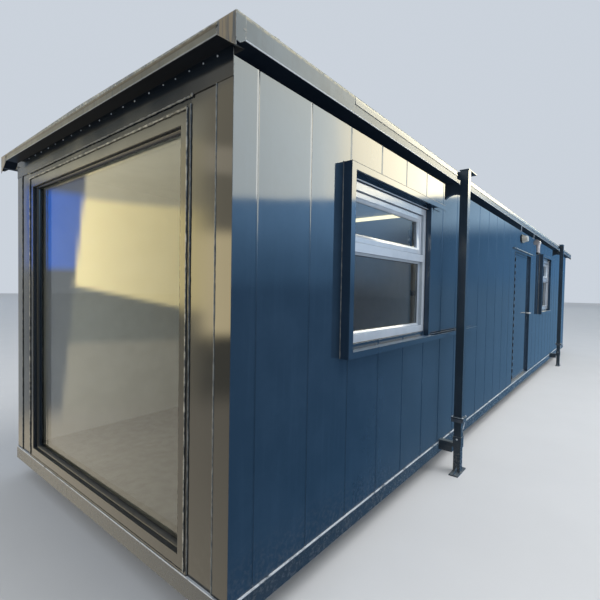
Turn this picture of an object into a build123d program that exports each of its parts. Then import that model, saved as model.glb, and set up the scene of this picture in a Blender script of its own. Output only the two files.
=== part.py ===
"""Portable site cabin on four telescoping legs, forty feet long and nine feet wide.

Millimetres, +Z up. The origin is on the ground under the middle of the cabin. The end with
the picture window is at -X, the front with the door and the two windows faces -Y.
"""
import os

from build123d import *

os.makedirs("parts", exist_ok=True)

# Body of the cabin, over its wall faces
LENGTH = 12192.0
WIDTH = 2743.0
GROUND_GAP = 140.0
WALL_HEIGHT = 2390.0
WALL_THICKNESS = 90.0
CLADDING = 6.0

# Base frame
RAIL_HEIGHT = 100.0
RAIL_DEPTH = 60.0
RAIL_PLATE = 6.0
RAIL_LEDGE = 8.0
JOIST_WIDTH = 50.0
JOIST_PITCH = 610.0
BEARER_COUNT = 5
BEARER_PITCH = 490.0
BEARER_WIDTH = 55.0
BEARER_HEIGHT = 58.0
BEARER_SETBACK = 50.0
FLOOR_THICKNESS = 22.0

# Wall panels and their grooves
CORNER_LONG = 153.0
CORNER_END = 111.0
PANELS = 30
GROOVE_WIDTH = 9.0
GROOVE_DEPTH = 3.5

# Roof
OVERHANG_LONG = 110.0
OVERHANG_END = 87.0
FASCIA_HEIGHT = 95.0
END_FASCIA_HEIGHT = 50.0
FASCIA_LIP = 34.0
FASCIA_PLATE = 3.0
SOFFIT_PLATE = 3.0
ROOF_SHEET = 8.0
ROOF_CAMBER = 18.0
ROOF_SHEET_SETBACK = 5.0
CAP_PLATE = 2.5
CAP_END_REACH = 119.0
CAP_END_DIP = 42.0
CAP_LONG_REACH = 50.0
CAP_LONG_DIP = 21.0
CAP_LONG_FLAT = 22.0
SOFFIT_FLAT = 44.5

# Picture window in the near end
PICTURE_JAMB = 300.0
PICTURE_SIDE = 71.0
PICTURE_TOP = 85.0
PICTURE_SILL = 80.0
PICTURE_PROUD = 5.0
PICTURE_HEIGHT = 2268.0
RIDGE_INSET = 13.0
RIDGE_WIDTH = 6.0
RIDGE_PROUD = 5.0
RIDGE_TOP_INSET = 2.0
RIDGE_TOP_WIDTH = 19.0
GLASS_SETBACK = 55.0
GLASS_THICKNESS = 20.0
GLASS_REBATE = 12.0
HEADER_BAND = 37.0
HEADER_SHEET = 3.0
JAMB_SETBACK = 3.0

# Windows in the front
WINDOW_WIDTH = 1250.0
WINDOW_HEIGHT = 1025.0
WINDOW_SILL = 1065.0
WINDOW_1_CENTRE = 1531.0
WINDOW_2_FROM_DOOR = 1585.0
WINDOW_FRAME = 56.0
WINDOW_SASH = 56.0
WINDOW_SETBACK = 8.0
WINDOW_DEPTH = 72.0
SASH_SETBACK = 40.0
TRANSOM_LOW = 582.0
TRANSOM_HEIGHT = 58.0
PANE_SETBACK = 48.0
PANE_THICKNESS = 20.0
PANE_REBATE = 10.0

# Steel surround of a window, with the two rails that carry a sliding shutter
SURROUND_DEPTH = 62.0
SURROUND_SIDE = 48.0
SURROUND_FAR_DEPTH = 36.0
SURROUND_FAR_SIDE = 26.0
TOP_RAIL_HEIGHT = 44.0
TOP_RAIL_OVER = 28.0
BOTTOM_RAIL_HEIGHT = 40.0
BOTTOM_RAIL_UNDER = 35.0
RAIL_LIP = 5.0
TOP_RAIL_ROUNDING = 20.0
TOP_RAIL_1_REACH = 258.0
BOTTOM_RAIL_1_REACH = 1308.0
RAIL_2_REACH = 300.0

# Doorway, door and its furniture
DOORWAY_START = 5636.0
DOORWAY_WIDTH = 1325.0
DOORWAY_HEIGHT = 2045.0
DOOR_RECESS = 30.0
DOOR_JAMB = 40.0
DOOR_LINER = 6.0
DOOR_STOP = 12.0
DOOR_THICKNESS = 35.0
DOOR_GAP = 6.0
DOOR_THRESHOLD = 25.0
DOOR_STOP_GAP = 6.0
DOOR_BOTTOM_GAP = 8.0
DOOR_HEM = 5.0
DOOR_HEM_WIDTH = 28.0
HINGE_RADIUS = 8.0
HINGE_RUNNING_GAP = 0.3
HINGE_PLATE = 5.0
HINGE_LENGTH = 110.0
HINGE_COUNT = 3
HINGE_END_MARGIN = 210.0
HANDLE_HEIGHT = 1050.0
HANDLE_BACKSET = 45.0
HANDLE_PLATE = (32.0, 210.0, 6.0)
HANDLE_RADIUS = 9.5
HANDLE_REACH = 64.0
HANDLE_LENGTH = 128.0
FLASHING_REACH = 28.0
FLASHING_SIDE = 97.0
FLASHING_RISE = 25.0
FLASHING_HEIGHT = 22.0
FLASHING_PLATE = 3.0

# Telescoping legs
LEG_FROM_END = 2576.0
LEG_OFFSET = 176.0
LEG_TUBE = 70.0
LEG_WALL = 3.5
LEG_CLEARANCE = 0.5
LEG_TUBE_BOTTOM = 500.0
LEG_FLANGE = 110.0
LEG_FLANGE_THICKNESS = 10.0
LEG_CAP = (245.0, 80.0)
LEG_CAP_LIP = 10.0
LEG_CAP_THICKNESS = 8.0
LEG_CAP_OVER_ROOF = 5.0
INNER_LEG_TOP = 1500.0
INNER_LEG_WALL = 5.0
FOOT_SIZE = (235.0, 80.0)
FOOT_THICKNESS = 10.0
FOOT_GUSSET_HEIGHT = 50.0
FOOT_GUSSET_THICKNESS = 6.0
SLEEVE_WALL = 4.5
SLEEVE_BELOW_LINE = 8.0
SLEEVE_HEIGHT = 100.0
ARM_WIDTH = 56.0
ARM_BELOW_LINE = 62.0
ARM_ABOVE_LINE = 28.0
ARM_CLEARANCE = 10.0
TIE_WIDTH = 60.0
TIE_LOW = 30.0
TIE_HEIGHT = 58.0
GUSSET_THICKNESS = 40.0
GUSSET_DROP = 140.0
GUSSET_TUBE_LOW = 118.0
GUSSET_TUBE_HIGH = 38.0
GUSSET_BOW = 105.0

# Bulkhead light over the door and the power inlet beside it
LIGHT_OFF_CENTRE = 228.5
LIGHT_HEIGHT = 2265.0
LIGHT_SIZE = (200.0, 130.0)
LIGHT_DEPTH = 95.0
LIGHT_BASE = 22.0
INLET_FROM_DOOR = 269.0
INLET_HEIGHT = 2318.0
INLET_LENGTH = 180.0
INLET_RADIUS = 46.0
INLET_STAND_OFF = 50.0
INLET_FOOT = (110.0, 70.0)
INLET_COLLAR = (10.0, 50.0)
INLET_SOCKET_RADIUS = 28.0
INLET_SOCKET_LENGTH = 165.0
INLET_SOCKET_TAPER = 2.0
INLET_SOCKET_PITCH = 84.0
INLET_SOCKET_FORWARD = 16.0

# Levels and faces that the pieces share
X_NEAR = -LENGTH / 2
X_FAR = LENGTH / 2
Y_FRONT = -WIDTH / 2
Y_BACK = WIDTH / 2
LINE_Z = GROUND_GAP + RAIL_HEIGHT
WALL_TOP = LINE_Z + WALL_HEIGHT
ROOF_Z = WALL_TOP + FASCIA_HEIGHT
FLOOR_TOP = LINE_Z + FLOOR_THICKNESS
HEADER_TOP = ROOF_Z - END_FASCIA_HEIGHT
PANEL_PITCH = (LENGTH - 2 * CORNER_LONG) / PANELS
PICTURE_HALF = WIDTH / 2 - PICTURE_JAMB
PICTURE_OPEN_HALF = PICTURE_HALF - PICTURE_SIDE
PICTURE_TOP_Z = LINE_Z + PICTURE_HEIGHT
DOOR_X0 = X_NEAR + DOORWAY_START
DOOR_X1 = DOOR_X0 + DOORWAY_WIDTH
DOOR_TOP = LINE_Z + DOORWAY_HEIGHT
WINDOW_LOW = LINE_Z + WINDOW_SILL
WINDOW_HIGH = WINDOW_LOW + WINDOW_HEIGHT
WINDOW_1_X = X_NEAR + WINDOW_1_CENTRE
WINDOW_2_X = DOOR_X1 + WINDOW_2_FROM_DOOR
LEG_XS = {"near": X_NEAR + LEG_FROM_END, "far": X_FAR - LEG_FROM_END}
LEG_YS = {"front": Y_FRONT - LEG_OFFSET, "back": Y_BACK + LEG_OFFSET}
INNER_LEG = LEG_TUBE - 2 * LEG_WALL - 2 * LEG_CLEARANCE
LEG_CAP_TOP = ROOF_Z + LEG_CAP_OVER_ROOF

# The eaves over an end slope up from each corner: their low line, their high line, and where
# they pass the wall face
EAVE_LOW_Y = Y_BACK + OVERHANG_LONG - SOFFIT_FLAT
EAVE_TOP_Y = Y_BACK + OVERHANG_LONG - CAP_END_REACH
EAVE_WALL_Z = WALL_TOP + (HEADER_TOP - WALL_TOP) * (EAVE_LOW_Y - Y_BACK) / (EAVE_LOW_Y - EAVE_TOP_Y)


def save(part, name):
    """Label a finished piece and write its file."""
    part.label = name
    export_step(part, f"parts/{name}.step")


def slab(x0, x1, y0, y1, z0, z1, mode=Mode.ADD):
    """Rectangular plate or bar between two corners, inside the open part."""
    with BuildSketch(Plane.XY.offset(z0)) as profile:
        with Locations(((x0 + x1) / 2, (y0 + y1) / 2)):
            Rectangle(x1 - x0, y1 - y0)
    extrude(profile.sketch, amount=z1 - z0, mode=mode)


def front_rectangles(y, depth, rects, mode=Mode.ADD):
    """Rectangles drawn on a plane facing -Y at y, extruded inwards by depth."""
    with BuildSketch(Plane.XZ.offset(-y)) as profile:
        for x0, x1, z0, z1 in rects:
            with Locations(((x0 + x1) / 2, (z0 + z1) / 2)):
                Rectangle(x1 - x0, z1 - z0)
    extrude(profile.sketch, amount=-depth, mode=mode)


def end_rectangles(x, depth, rects, mode=Mode.ADD):
    """Rectangles drawn on a plane facing +X at x, extruded towards +X by depth."""
    with BuildSketch(Plane.YZ.offset(x)) as profile:
        for y0, y1, z0, z1 in rects:
            with Locations(((y0 + y1) / 2, (z0 + z1) / 2)):
                Rectangle(y1 - y0, z1 - z0)
    extrude(profile.sketch, amount=depth, mode=mode)


def mitred_strip(side, reach_end, reach_long, depth, z0, z1):
    """Strip of the plan outline on one side of the cabin, mitred at both corners."""
    x_out = LENGTH / 2 + reach_end
    y_out = WIDTH / 2 + reach_long
    x_in = x_out - depth
    y_in = y_out - depth
    if side == "front":
        points = [(-x_out, -y_out), (x_out, -y_out), (x_in, -y_in), (-x_in, -y_in)]
    elif side == "back":
        points = [(x_out, y_out), (-x_out, y_out), (-x_in, y_in), (x_in, y_in)]
    elif side == "near_end":
        points = [(-x_out, y_out), (-x_out, -y_out), (-x_in, -y_in), (-x_in, y_in)]
    else:
        points = [(x_out, -y_out), (x_out, y_out), (x_in, y_in), (x_in, -y_in)]
    with BuildSketch(Plane.XY.offset(z0)) as profile:
        with BuildLine():
            Polyline(*points, close=True)
        make_face()
    extrude(profile.sketch, amount=z1 - z0)


def window_hole(centre):
    return (centre - WINDOW_WIDTH / 2, centre + WINDOW_WIDTH / 2, WINDOW_LOW, WINDOW_HIGH)


# Base frame: channel rails with their webs outwards, mitred and welded at the corners
SIDES = ("front", "back", "near_end", "far_end")
with BuildPart() as base_frame:
    for side in SIDES:
        mitred_strip(side, RAIL_LEDGE, RAIL_LEDGE, RAIL_DEPTH, GROUND_GAP, GROUND_GAP + RAIL_PLATE)
        mitred_strip(side, RAIL_LEDGE, RAIL_LEDGE, RAIL_PLATE, GROUND_GAP, LINE_Z)
        mitred_strip(side, RAIL_LEDGE, RAIL_LEDGE, RAIL_DEPTH, LINE_Z - RAIL_PLATE, LINE_Z)
save(base_frame.part, "base_frame")

# Floor joists between the webs of the long rails, under the deck
joist_span = LENGTH - 2 * JOIST_PITCH
joist_count = int(joist_span // JOIST_PITCH) + 1
joist_step = joist_span / (joist_count - 1)
joist_y = WIDTH / 2 + RAIL_LEDGE - RAIL_PLATE
flange_y = WIDTH / 2 + RAIL_LEDGE - RAIL_DEPTH
with BuildPart() as floor_joists:
    with BuildSketch(Plane.XY.offset(GROUND_GAP)):
        with GridLocations(joist_step, 0, joist_count, 1):
            Rectangle(JOIST_WIDTH, 2 * flange_y)
    extrude(amount=RAIL_PLATE)
    with BuildSketch(Plane.XY.offset(GROUND_GAP + RAIL_PLATE)):
        with GridLocations(joist_step, 0, joist_count, 1):
            Rectangle(JOIST_WIDTH, 2 * joist_y)
    extrude(amount=RAIL_HEIGHT - 2 * RAIL_PLATE)
save(floor_joists.part, "floor_joists")

# Long bearers that hang below the rails and stop short of the ends
with BuildPart() as floor_bearers:
    with BuildSketch(Plane.XY.offset(GROUND_GAP - BEARER_HEIGHT)):
        with GridLocations(0, BEARER_PITCH, 1, BEARER_COUNT):
            Rectangle(LENGTH - 2 * BEARER_SETBACK, BEARER_WIDTH)
    extrude(amount=BEARER_HEIGHT)
save(floor_bearers.part, "floor_bearers")

with BuildPart() as floor_deck:
    slab(X_NEAR + WALL_THICKNESS, X_FAR - WALL_THICKNESS, Y_FRONT + WALL_THICKNESS,
         Y_BACK - WALL_THICKNESS, LINE_Z, FLOOR_TOP)
save(floor_deck.part, "floor_deck")

# Corner posts, folded to the depth of the walls
def corner_posts(end):
    """Two angle posts at one end of the cabin, from the base frame to the roof."""
    x0, x1 = sorted((end * LENGTH / 2, end * (LENGTH / 2 - CORNER_LONG)))
    for out in (-1, 1):
        y0, y1 = sorted((out * WIDTH / 2, out * (WIDTH / 2 - CORNER_END)))
        slab(x0, x1, y0, y1, LINE_Z, HEADER_TOP)
    room_x = LENGTH / 2 - WALL_THICKNESS
    room_y = WIDTH / 2 - WALL_THICKNESS
    slab(-room_x, room_x, -room_y, room_y, LINE_Z, HEADER_TOP, Mode.SUBTRACT)


with BuildPart() as near_posts:
    corner_posts(-1)
save(near_posts.part, "near_corner_posts")

with BuildPart() as far_posts:
    corner_posts(1)
save(far_posts.part, "far_corner_posts")

# Near end: jamb panels, and a header whose outer sheet runs over both posts
jamb_out = WIDTH / 2 - CORNER_END
with BuildPart() as near_jambs:
    end_rectangles(X_NEAR + JAMB_SETBACK, WALL_THICKNESS - JAMB_SETBACK, [
        (-jamb_out, -PICTURE_HALF, LINE_Z, PICTURE_TOP_Z + HEADER_BAND),
        (PICTURE_HALF, jamb_out, LINE_Z, PICTURE_TOP_Z + HEADER_BAND)])
save(near_jambs.part, "near_jamb_panels")

header_low = PICTURE_TOP_Z + HEADER_BAND
with BuildPart() as near_header:
    end_rectangles(X_NEAR, WALL_THICKNESS, [(-jamb_out, jamb_out, header_low, HEADER_TOP)])
    end_rectangles(X_NEAR + JAMB_SETBACK, WALL_THICKNESS - JAMB_SETBACK,
                   [(-PICTURE_HALF, PICTURE_HALF, PICTURE_TOP_Z, header_low)])
    with BuildSketch(Plane.YZ.offset(X_NEAR)):
        with BuildLine():
            Polyline((-Y_BACK, header_low), (Y_BACK, header_low), (Y_BACK, EAVE_WALL_Z),
                     (EAVE_TOP_Y, HEADER_TOP), (-EAVE_TOP_Y, HEADER_TOP), (-Y_BACK, EAVE_WALL_Z), close=True)
        make_face()
    extrude(amount=-HEADER_SHEET)
save(near_header.part, "near_end_header")

# Picture window: deep frame with a raised ridge that is widest over the head, and one pane in a rebate
frame_x = X_NEAR - PICTURE_PROUD
frame_depth = WALL_THICKNESS + PICTURE_PROUD
open_low = LINE_Z + PICTURE_SILL
open_high = PICTURE_TOP_Z - PICTURE_TOP
glass_x = X_NEAR + GLASS_SETBACK
with BuildPart() as picture_frame:
    end_rectangles(frame_x, frame_depth, [(-PICTURE_HALF, PICTURE_HALF, LINE_Z, PICTURE_TOP_Z)])
    end_rectangles(frame_x - RIDGE_PROUD, RIDGE_PROUD, [
        (-PICTURE_HALF + RIDGE_INSET, PICTURE_HALF - RIDGE_INSET,
         LINE_Z + RIDGE_INSET, PICTURE_TOP_Z - RIDGE_TOP_INSET)])
    inset = RIDGE_INSET + RIDGE_WIDTH
    end_rectangles(frame_x - RIDGE_PROUD, RIDGE_PROUD, [
        (-PICTURE_HALF + inset, PICTURE_HALF - inset,
         LINE_Z + inset, PICTURE_TOP_Z - RIDGE_TOP_INSET - RIDGE_TOP_WIDTH)], Mode.SUBTRACT)
    end_rectangles(frame_x, frame_depth, [
        (-PICTURE_OPEN_HALF, PICTURE_OPEN_HALF, open_low, open_high)], Mode.SUBTRACT)
    end_rectangles(glass_x, X_NEAR + WALL_THICKNESS - glass_x, [
        (-PICTURE_OPEN_HALF - GLASS_REBATE, PICTURE_OPEN_HALF + GLASS_REBATE,
         open_low - GLASS_REBATE, open_high + GLASS_REBATE)], Mode.SUBTRACT)
save(picture_frame.part, "picture_window_frame")

with BuildPart() as picture_glass:
    end_rectangles(glass_x, GLASS_THICKNESS, [
        (-PICTURE_OPEN_HALF - GLASS_REBATE, PICTURE_OPEN_HALF + GLASS_REBATE,
         open_low - GLASS_REBATE, open_high + GLASS_REBATE)])
save(picture_glass.part, "picture_window_glass")

# Insulated walls, lined inside; their outer faces carry the steel cladding
core_y = Y_FRONT + CLADDING
core_depth = WALL_THICKNESS - CLADDING
wall_x0 = X_NEAR + CORNER_LONG
wall_x1 = X_FAR - CORNER_LONG
with BuildPart() as front_wall_near:
    front_rectangles(core_y, core_depth, [(wall_x0, DOOR_X0, LINE_Z, WALL_TOP)])
    front_rectangles(core_y, core_depth, [window_hole(WINDOW_1_X)], Mode.SUBTRACT)
save(front_wall_near.part, "front_wall_near")

with BuildPart() as front_wall_over_door:
    front_rectangles(core_y, core_depth, [(DOOR_X0, DOOR_X1, DOOR_TOP, WALL_TOP)])
save(front_wall_over_door.part, "front_wall_over_door")

with BuildPart() as front_wall_far:
    front_rectangles(core_y, core_depth, [(DOOR_X1, wall_x1, LINE_Z, WALL_TOP)])
    front_rectangles(core_y, core_depth, [window_hole(WINDOW_2_X)], Mode.SUBTRACT)
save(front_wall_far.part, "front_wall_far")

with BuildPart() as back_wall:
    front_rectangles(Y_BACK - WALL_THICKNESS, core_depth, [(wall_x0, wall_x1, LINE_Z, WALL_TOP)])
save(back_wall.part, "back_wall")

far_y = WIDTH / 2 - CORNER_END
with BuildPart() as far_end_wall:
    end_rectangles(X_FAR - WALL_THICKNESS, core_depth, [(-far_y, far_y, LINE_Z, HEADER_TOP)])
save(far_end_wall.part, "far_end_wall")


def groove_prisms(plane, places):
    """V-grooves between the wall panels, cut from the outer face over the full height."""
    with BuildSketch(plane) as profile:
        with Locations(*places):
            Polygon((-GROOVE_WIDTH / 2, 0), (GROOVE_WIDTH / 2, 0), (0, GROOVE_DEPTH), align=None)
    extrude(profile.sketch, amount=HEADER_TOP - LINE_Z, mode=Mode.SUBTRACT)


# Steel cladding with a groove at each panel joint
grooves = [wall_x0 + PANEL_PITCH * n for n in range(1, PANELS)]
for name, x0, x1, z0, holes in (
        ("front_cladding_near", wall_x0, DOOR_X0, LINE_Z, [window_hole(WINDOW_1_X)]),
        ("front_cladding_over_door", DOOR_X0, DOOR_X1, DOOR_TOP, []),
        ("front_cladding_far", DOOR_X1, wall_x1, LINE_Z, [window_hole(WINDOW_2_X)])):
    with BuildPart() as front_cladding:
        front_rectangles(Y_FRONT, CLADDING, [(x0, x1, z0, WALL_TOP)])
        if holes:
            front_rectangles(Y_FRONT, CLADDING, holes, Mode.SUBTRACT)
        groove_prisms(Plane.XY.offset(LINE_Z), [(x, Y_FRONT) for x in grooves if x0 < x < x1])
    save(front_cladding.part, name)

back_plane = Plane(origin=(0, 0, LINE_Z), x_dir=(-1, 0, 0), z_dir=(0, 0, 1))
with BuildPart() as back_cladding:
    front_rectangles(Y_BACK - CLADDING, CLADDING, [(wall_x0, wall_x1, LINE_Z, WALL_TOP)])
    groove_prisms(back_plane, [(x, -Y_BACK) for x in grooves])
save(back_cladding.part, "back_cladding")

end_panels = round(2 * far_y / PANEL_PITCH)
end_pitch = 2 * far_y / end_panels
far_plane = Plane(origin=(0, 0, LINE_Z), x_dir=(0, 1, 0), z_dir=(0, 0, 1))
with BuildPart() as far_cladding:
    end_rectangles(X_FAR - CLADDING, CLADDING, [(-far_y, far_y, LINE_Z, HEADER_TOP)])
    groove_prisms(far_plane, [(-far_y + end_pitch * n, -X_FAR) for n in range(1, end_panels)])
save(far_cladding.part, "far_end_cladding")

# Roof: insulated panel on the walls, steel sheet over it and the fascias round it
inner_end = OVERHANG_END - FASCIA_PLATE
inner_long = OVERHANG_LONG - FASCIA_PLATE
with BuildPart() as roof_panel:
    slab(X_NEAR + CORNER_LONG, X_FAR - CORNER_LONG, Y_FRONT + CLADDING, Y_BACK - CLADDING,
         WALL_TOP, ROOF_Z - FASCIA_PLATE)
    for x0, x1 in ((X_NEAR + WALL_THICKNESS, X_NEAR + CORNER_LONG), (X_FAR - CORNER_LONG, X_FAR - WALL_THICKNESS)):
        slab(x0, x1, Y_FRONT + CORNER_END, Y_BACK - CORNER_END, WALL_TOP, ROOF_Z - FASCIA_PLATE)
save(roof_panel.part, "roof_panel")

with BuildPart() as roof_sheet:
    edge_x = LENGTH / 2 + OVERHANG_END - ROOF_SHEET_SETBACK
    edge_y = WIDTH / 2 + OVERHANG_LONG - ROOF_SHEET_SETBACK
    with BuildSketch(Plane.YZ.offset(-edge_x)):
        with BuildLine():
            Polyline((-edge_y, ROOF_Z), (edge_y, ROOF_Z), (edge_y, ROOF_Z + ROOF_SHEET),
                     (0, ROOF_Z + ROOF_SHEET + ROOF_CAMBER), (-edge_y, ROOF_Z + ROOF_SHEET), close=True)
        make_face()
    extrude(amount=2 * edge_x)
save(roof_sheet.part, "roof_sheet")

for side in SIDES:
    deep = FASCIA_HEIGHT if side in ("front", "back") else END_FASCIA_HEIGHT
    with BuildPart() as fascia:
        mitred_strip(side, OVERHANG_END, OVERHANG_LONG, FASCIA_PLATE, ROOF_Z - deep, ROOF_Z)
        mitred_strip(side, OVERHANG_END, OVERHANG_LONG, FASCIA_LIP, ROOF_Z - FASCIA_PLATE, ROOF_Z)
    save(fascia.part, f"fascia_{side}")

# Soffits: flat along both sides, raised over the ends, with a slope and a closing piece at each corner
box_y = Y_BACK + inner_long
with BuildPart() as soffits:
    for out in (-1, 1):
        slab(X_NEAR, X_FAR, min(out * box_y, out * Y_BACK), max(out * box_y, out * Y_BACK),
             WALL_TOP, WALL_TOP + SOFFIT_PLATE)
    for x0, x1, inside in ((X_NEAR - inner_end, X_NEAR, 1), (X_FAR, X_FAR + inner_end, -1)):
        slab(x0, x1, -EAVE_TOP_Y, EAVE_TOP_Y, HEADER_TOP, HEADER_TOP + SOFFIT_PLATE)
        for out in (-1, 1):
            with BuildSketch(Plane.YZ.offset(x0)):
                with BuildLine():
                    Polyline((out * box_y, WALL_TOP), (out * EAVE_LOW_Y, WALL_TOP), (out * EAVE_TOP_Y, HEADER_TOP),
                             (out * EAVE_TOP_Y, HEADER_TOP + SOFFIT_PLATE),
                             (out * EAVE_LOW_Y, WALL_TOP + SOFFIT_PLATE), (out * box_y, WALL_TOP + SOFFIT_PLATE),
                             close=True)
                make_face()
            extrude(amount=x1 - x0)
            with BuildSketch(Plane.YZ.offset(x1 if inside > 0 else x0 - SOFFIT_PLATE)):
                with BuildLine():
                    Polyline((out * EAVE_LOW_Y, WALL_TOP), (out * Y_BACK, WALL_TOP),
                             (out * Y_BACK, EAVE_WALL_Z + SOFFIT_PLATE),
                             (out * EAVE_LOW_Y, WALL_TOP + SOFFIT_PLATE), close=True)
                make_face()
            extrude(amount=SOFFIT_PLATE)
save(soffits.part, "eaves_soffits")


def corner_cap(sx, sy):
    """Folded plate over one roof corner: both of its legs dip below the fascias at the corner."""
    x_face = sx * (LENGTH / 2 + OVERHANG_END)
    y_face = sy * (WIDTH / 2 + OVERHANG_LONG)
    y_fold = y_face + sy * CAP_PLATE
    y_stop = sy * EAVE_TOP_Y
    x_flat = x_face - sx * CAP_LONG_FLAT
    x_stop = x_face - sx * CAP_LONG_REACH
    with BuildSketch(Plane.YZ.offset(x_face)) as end_leg:
        with BuildLine():
            Polyline((y_fold, ROOF_Z), (y_fold, WALL_TOP - CAP_END_DIP), (y_stop, HEADER_TOP), (y_stop, ROOF_Z),
                     close=True)
        make_face()
    extrude(end_leg.sketch, amount=sx * CAP_PLATE)
    with BuildSketch(Plane.XZ.offset(-y_face)) as long_leg:
        with BuildLine():
            Polyline((x_face, ROOF_Z), (x_face, WALL_TOP - CAP_LONG_DIP), (x_flat, WALL_TOP - CAP_LONG_DIP),
                     (x_stop, WALL_TOP), (x_stop, ROOF_Z), close=True)
        make_face()
    extrude(long_leg.sketch, amount=-sy * CAP_PLATE)


with BuildPart() as corner_caps:
    for sx in (-1, 1):
        for sy in (-1, 1):
            corner_cap(sx, sy)
save(corner_caps.part, "roof_corner_caps")

# Doorway: folded frame that lines the reveal, with a stop behind the leaf
leaf_y = Y_FRONT + DOOR_RECESS
jamb_x0 = DOOR_X0 + DOOR_JAMB
jamb_x1 = DOOR_X1 - DOOR_JAMB
head_z = DOOR_TOP - DOOR_JAMB
sill_z = LINE_Z + DOOR_THRESHOLD
with BuildPart() as door_frame:
    front_rectangles(Y_FRONT, WALL_THICKNESS, [(DOOR_X0, DOOR_X1, LINE_Z, DOOR_TOP)])
    front_rectangles(Y_FRONT, DOOR_RECESS, [
        (DOOR_X0 + DOOR_LINER, DOOR_X1 - DOOR_LINER, LINE_Z + DOOR_LINER, DOOR_TOP - DOOR_LINER)], Mode.SUBTRACT)
    front_rectangles(leaf_y, DOOR_THICKNESS + DOOR_STOP_GAP, [(jamb_x0, jamb_x1, sill_z, head_z)],
                     Mode.SUBTRACT)
    front_rectangles(leaf_y, WALL_THICKNESS - DOOR_RECESS, [
        (jamb_x0 + DOOR_STOP, jamb_x1 - DOOR_STOP, sill_z, head_z - DOOR_STOP)], Mode.SUBTRACT)
save(door_frame.part, "door_frame")

# Door leaf with a folded hem round its outer face
leaf_x0 = jamb_x0 + DOOR_GAP
leaf_x1 = jamb_x1 - DOOR_GAP
leaf_z0 = sill_z + DOOR_BOTTOM_GAP
leaf_z1 = head_z - DOOR_GAP
with BuildPart() as door_leaf:
    front_rectangles(leaf_y, DOOR_THICKNESS, [(leaf_x0, leaf_x1, leaf_z0, leaf_z1)])
    front_rectangles(leaf_y, DOOR_HEM, [
        (leaf_x0 + DOOR_HEM_WIDTH, leaf_x1 - DOOR_HEM_WIDTH, leaf_z0 + DOOR_HEM_WIDTH, leaf_z1 - DOOR_HEM_WIDTH)],
        Mode.SUBTRACT)
    front_rectangles(leaf_y + DOOR_HEM / 2, DOOR_HEM / 2, [
        (leaf_x0 + DOOR_HEM_WIDTH, leaf_x1 - DOOR_HEM_WIDTH, leaf_z0 + DOOR_HEM_WIDTH, leaf_z1 - DOOR_HEM_WIDTH)])
save(door_leaf.part, "door_leaf")

# Hinge knuckles just outside the face of the leaf, on plates welded to the near jamb
hinge_x = leaf_x0 + 1.0
hinge_y = leaf_y - HINGE_RADIUS
hinge_span = leaf_z1 - leaf_z0 - 2 * HINGE_END_MARGIN
with BuildPart() as hinges:
    for n in range(HINGE_COUNT):
        low = leaf_z0 + HINGE_END_MARGIN + hinge_span * n / (HINGE_COUNT - 1) - HINGE_LENGTH / 2
        with BuildSketch(Plane.XY.offset(low)):
            with Locations((hinge_x, hinge_y)):
                Circle(HINGE_RADIUS - HINGE_RUNNING_GAP)
        extrude(amount=HINGE_LENGTH)
        slab(DOOR_X0 + DOOR_LINER, jamb_x0 - 1.0, leaf_y - HINGE_PLATE, leaf_y, low, low + HINGE_LENGTH)
        slab(jamb_x0 - HINGE_PLATE, hinge_x, hinge_y - 1.0, leaf_y - HINGE_PLATE + 1.0, low, low + HINGE_LENGTH)
save(hinges.part, "door_hinges")

# Lever handle on its back plate
plate_w, plate_h, plate_t = HANDLE_PLATE
handle_x = leaf_x1 - HANDLE_BACKSET
handle_z = LINE_Z + HANDLE_HEIGHT
plate_face = leaf_y + DOOR_HEM / 2
with BuildPart() as door_handle:
    front_rectangles(plate_face - plate_t, plate_t, [
        (handle_x - plate_w / 2, handle_x + plate_w / 2, handle_z - plate_h / 2, handle_z + plate_h / 2)])
    with BuildSketch(Plane.XZ.offset(-(plate_face - plate_t))):
        with Locations((handle_x, handle_z)):
            Circle(HANDLE_RADIUS)
    extrude(amount=HANDLE_REACH)
    lever_y = plate_face - plate_t - HANDLE_REACH + HANDLE_RADIUS
    with BuildSketch(Plane.YZ.offset(handle_x - HANDLE_LENGTH)):
        with Locations((lever_y, handle_z)):
            Circle(HANDLE_RADIUS - 1.0)
    extrude(amount=HANDLE_LENGTH)
save(door_handle.part, "door_handle")

# Drip flashing over the doorway
flash_low = DOOR_TOP + FLASHING_RISE
flash_high = flash_low + FLASHING_HEIGHT
with BuildPart() as flashing:
    with BuildSketch(Plane.YZ.offset(DOOR_X0 - FLASHING_SIDE)):
        with BuildLine():
            Polyline((Y_FRONT, flash_high), (Y_FRONT, flash_low), (Y_FRONT - FLASHING_REACH, flash_low),
                     (Y_FRONT - FLASHING_REACH, flash_low + FLASHING_PLATE),
                     (Y_FRONT - FLASHING_PLATE, flash_high), close=True)
        make_face()
    extrude(amount=DOORWAY_WIDTH + 2 * FLASHING_SIDE)
save(flashing.part, "door_flashing")


def window_openings(centre, grow=0.0):
    """The lower fixed pane and the fanlight over the transom, as rectangles."""
    half = WINDOW_WIDTH / 2 - WINDOW_FRAME
    low = WINDOW_LOW + WINDOW_FRAME
    transom = WINDOW_LOW + TRANSOM_LOW
    fan_low = transom + TRANSOM_HEIGHT + WINDOW_SASH
    fan_high = WINDOW_HIGH - WINDOW_FRAME - WINDOW_SASH
    fan_half = half - WINDOW_SASH
    return [(centre - half - grow, centre + half + grow, low - grow, transom + grow),
            (centre - fan_half - grow, centre + fan_half + grow, fan_low - grow, fan_high + grow)]


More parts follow.
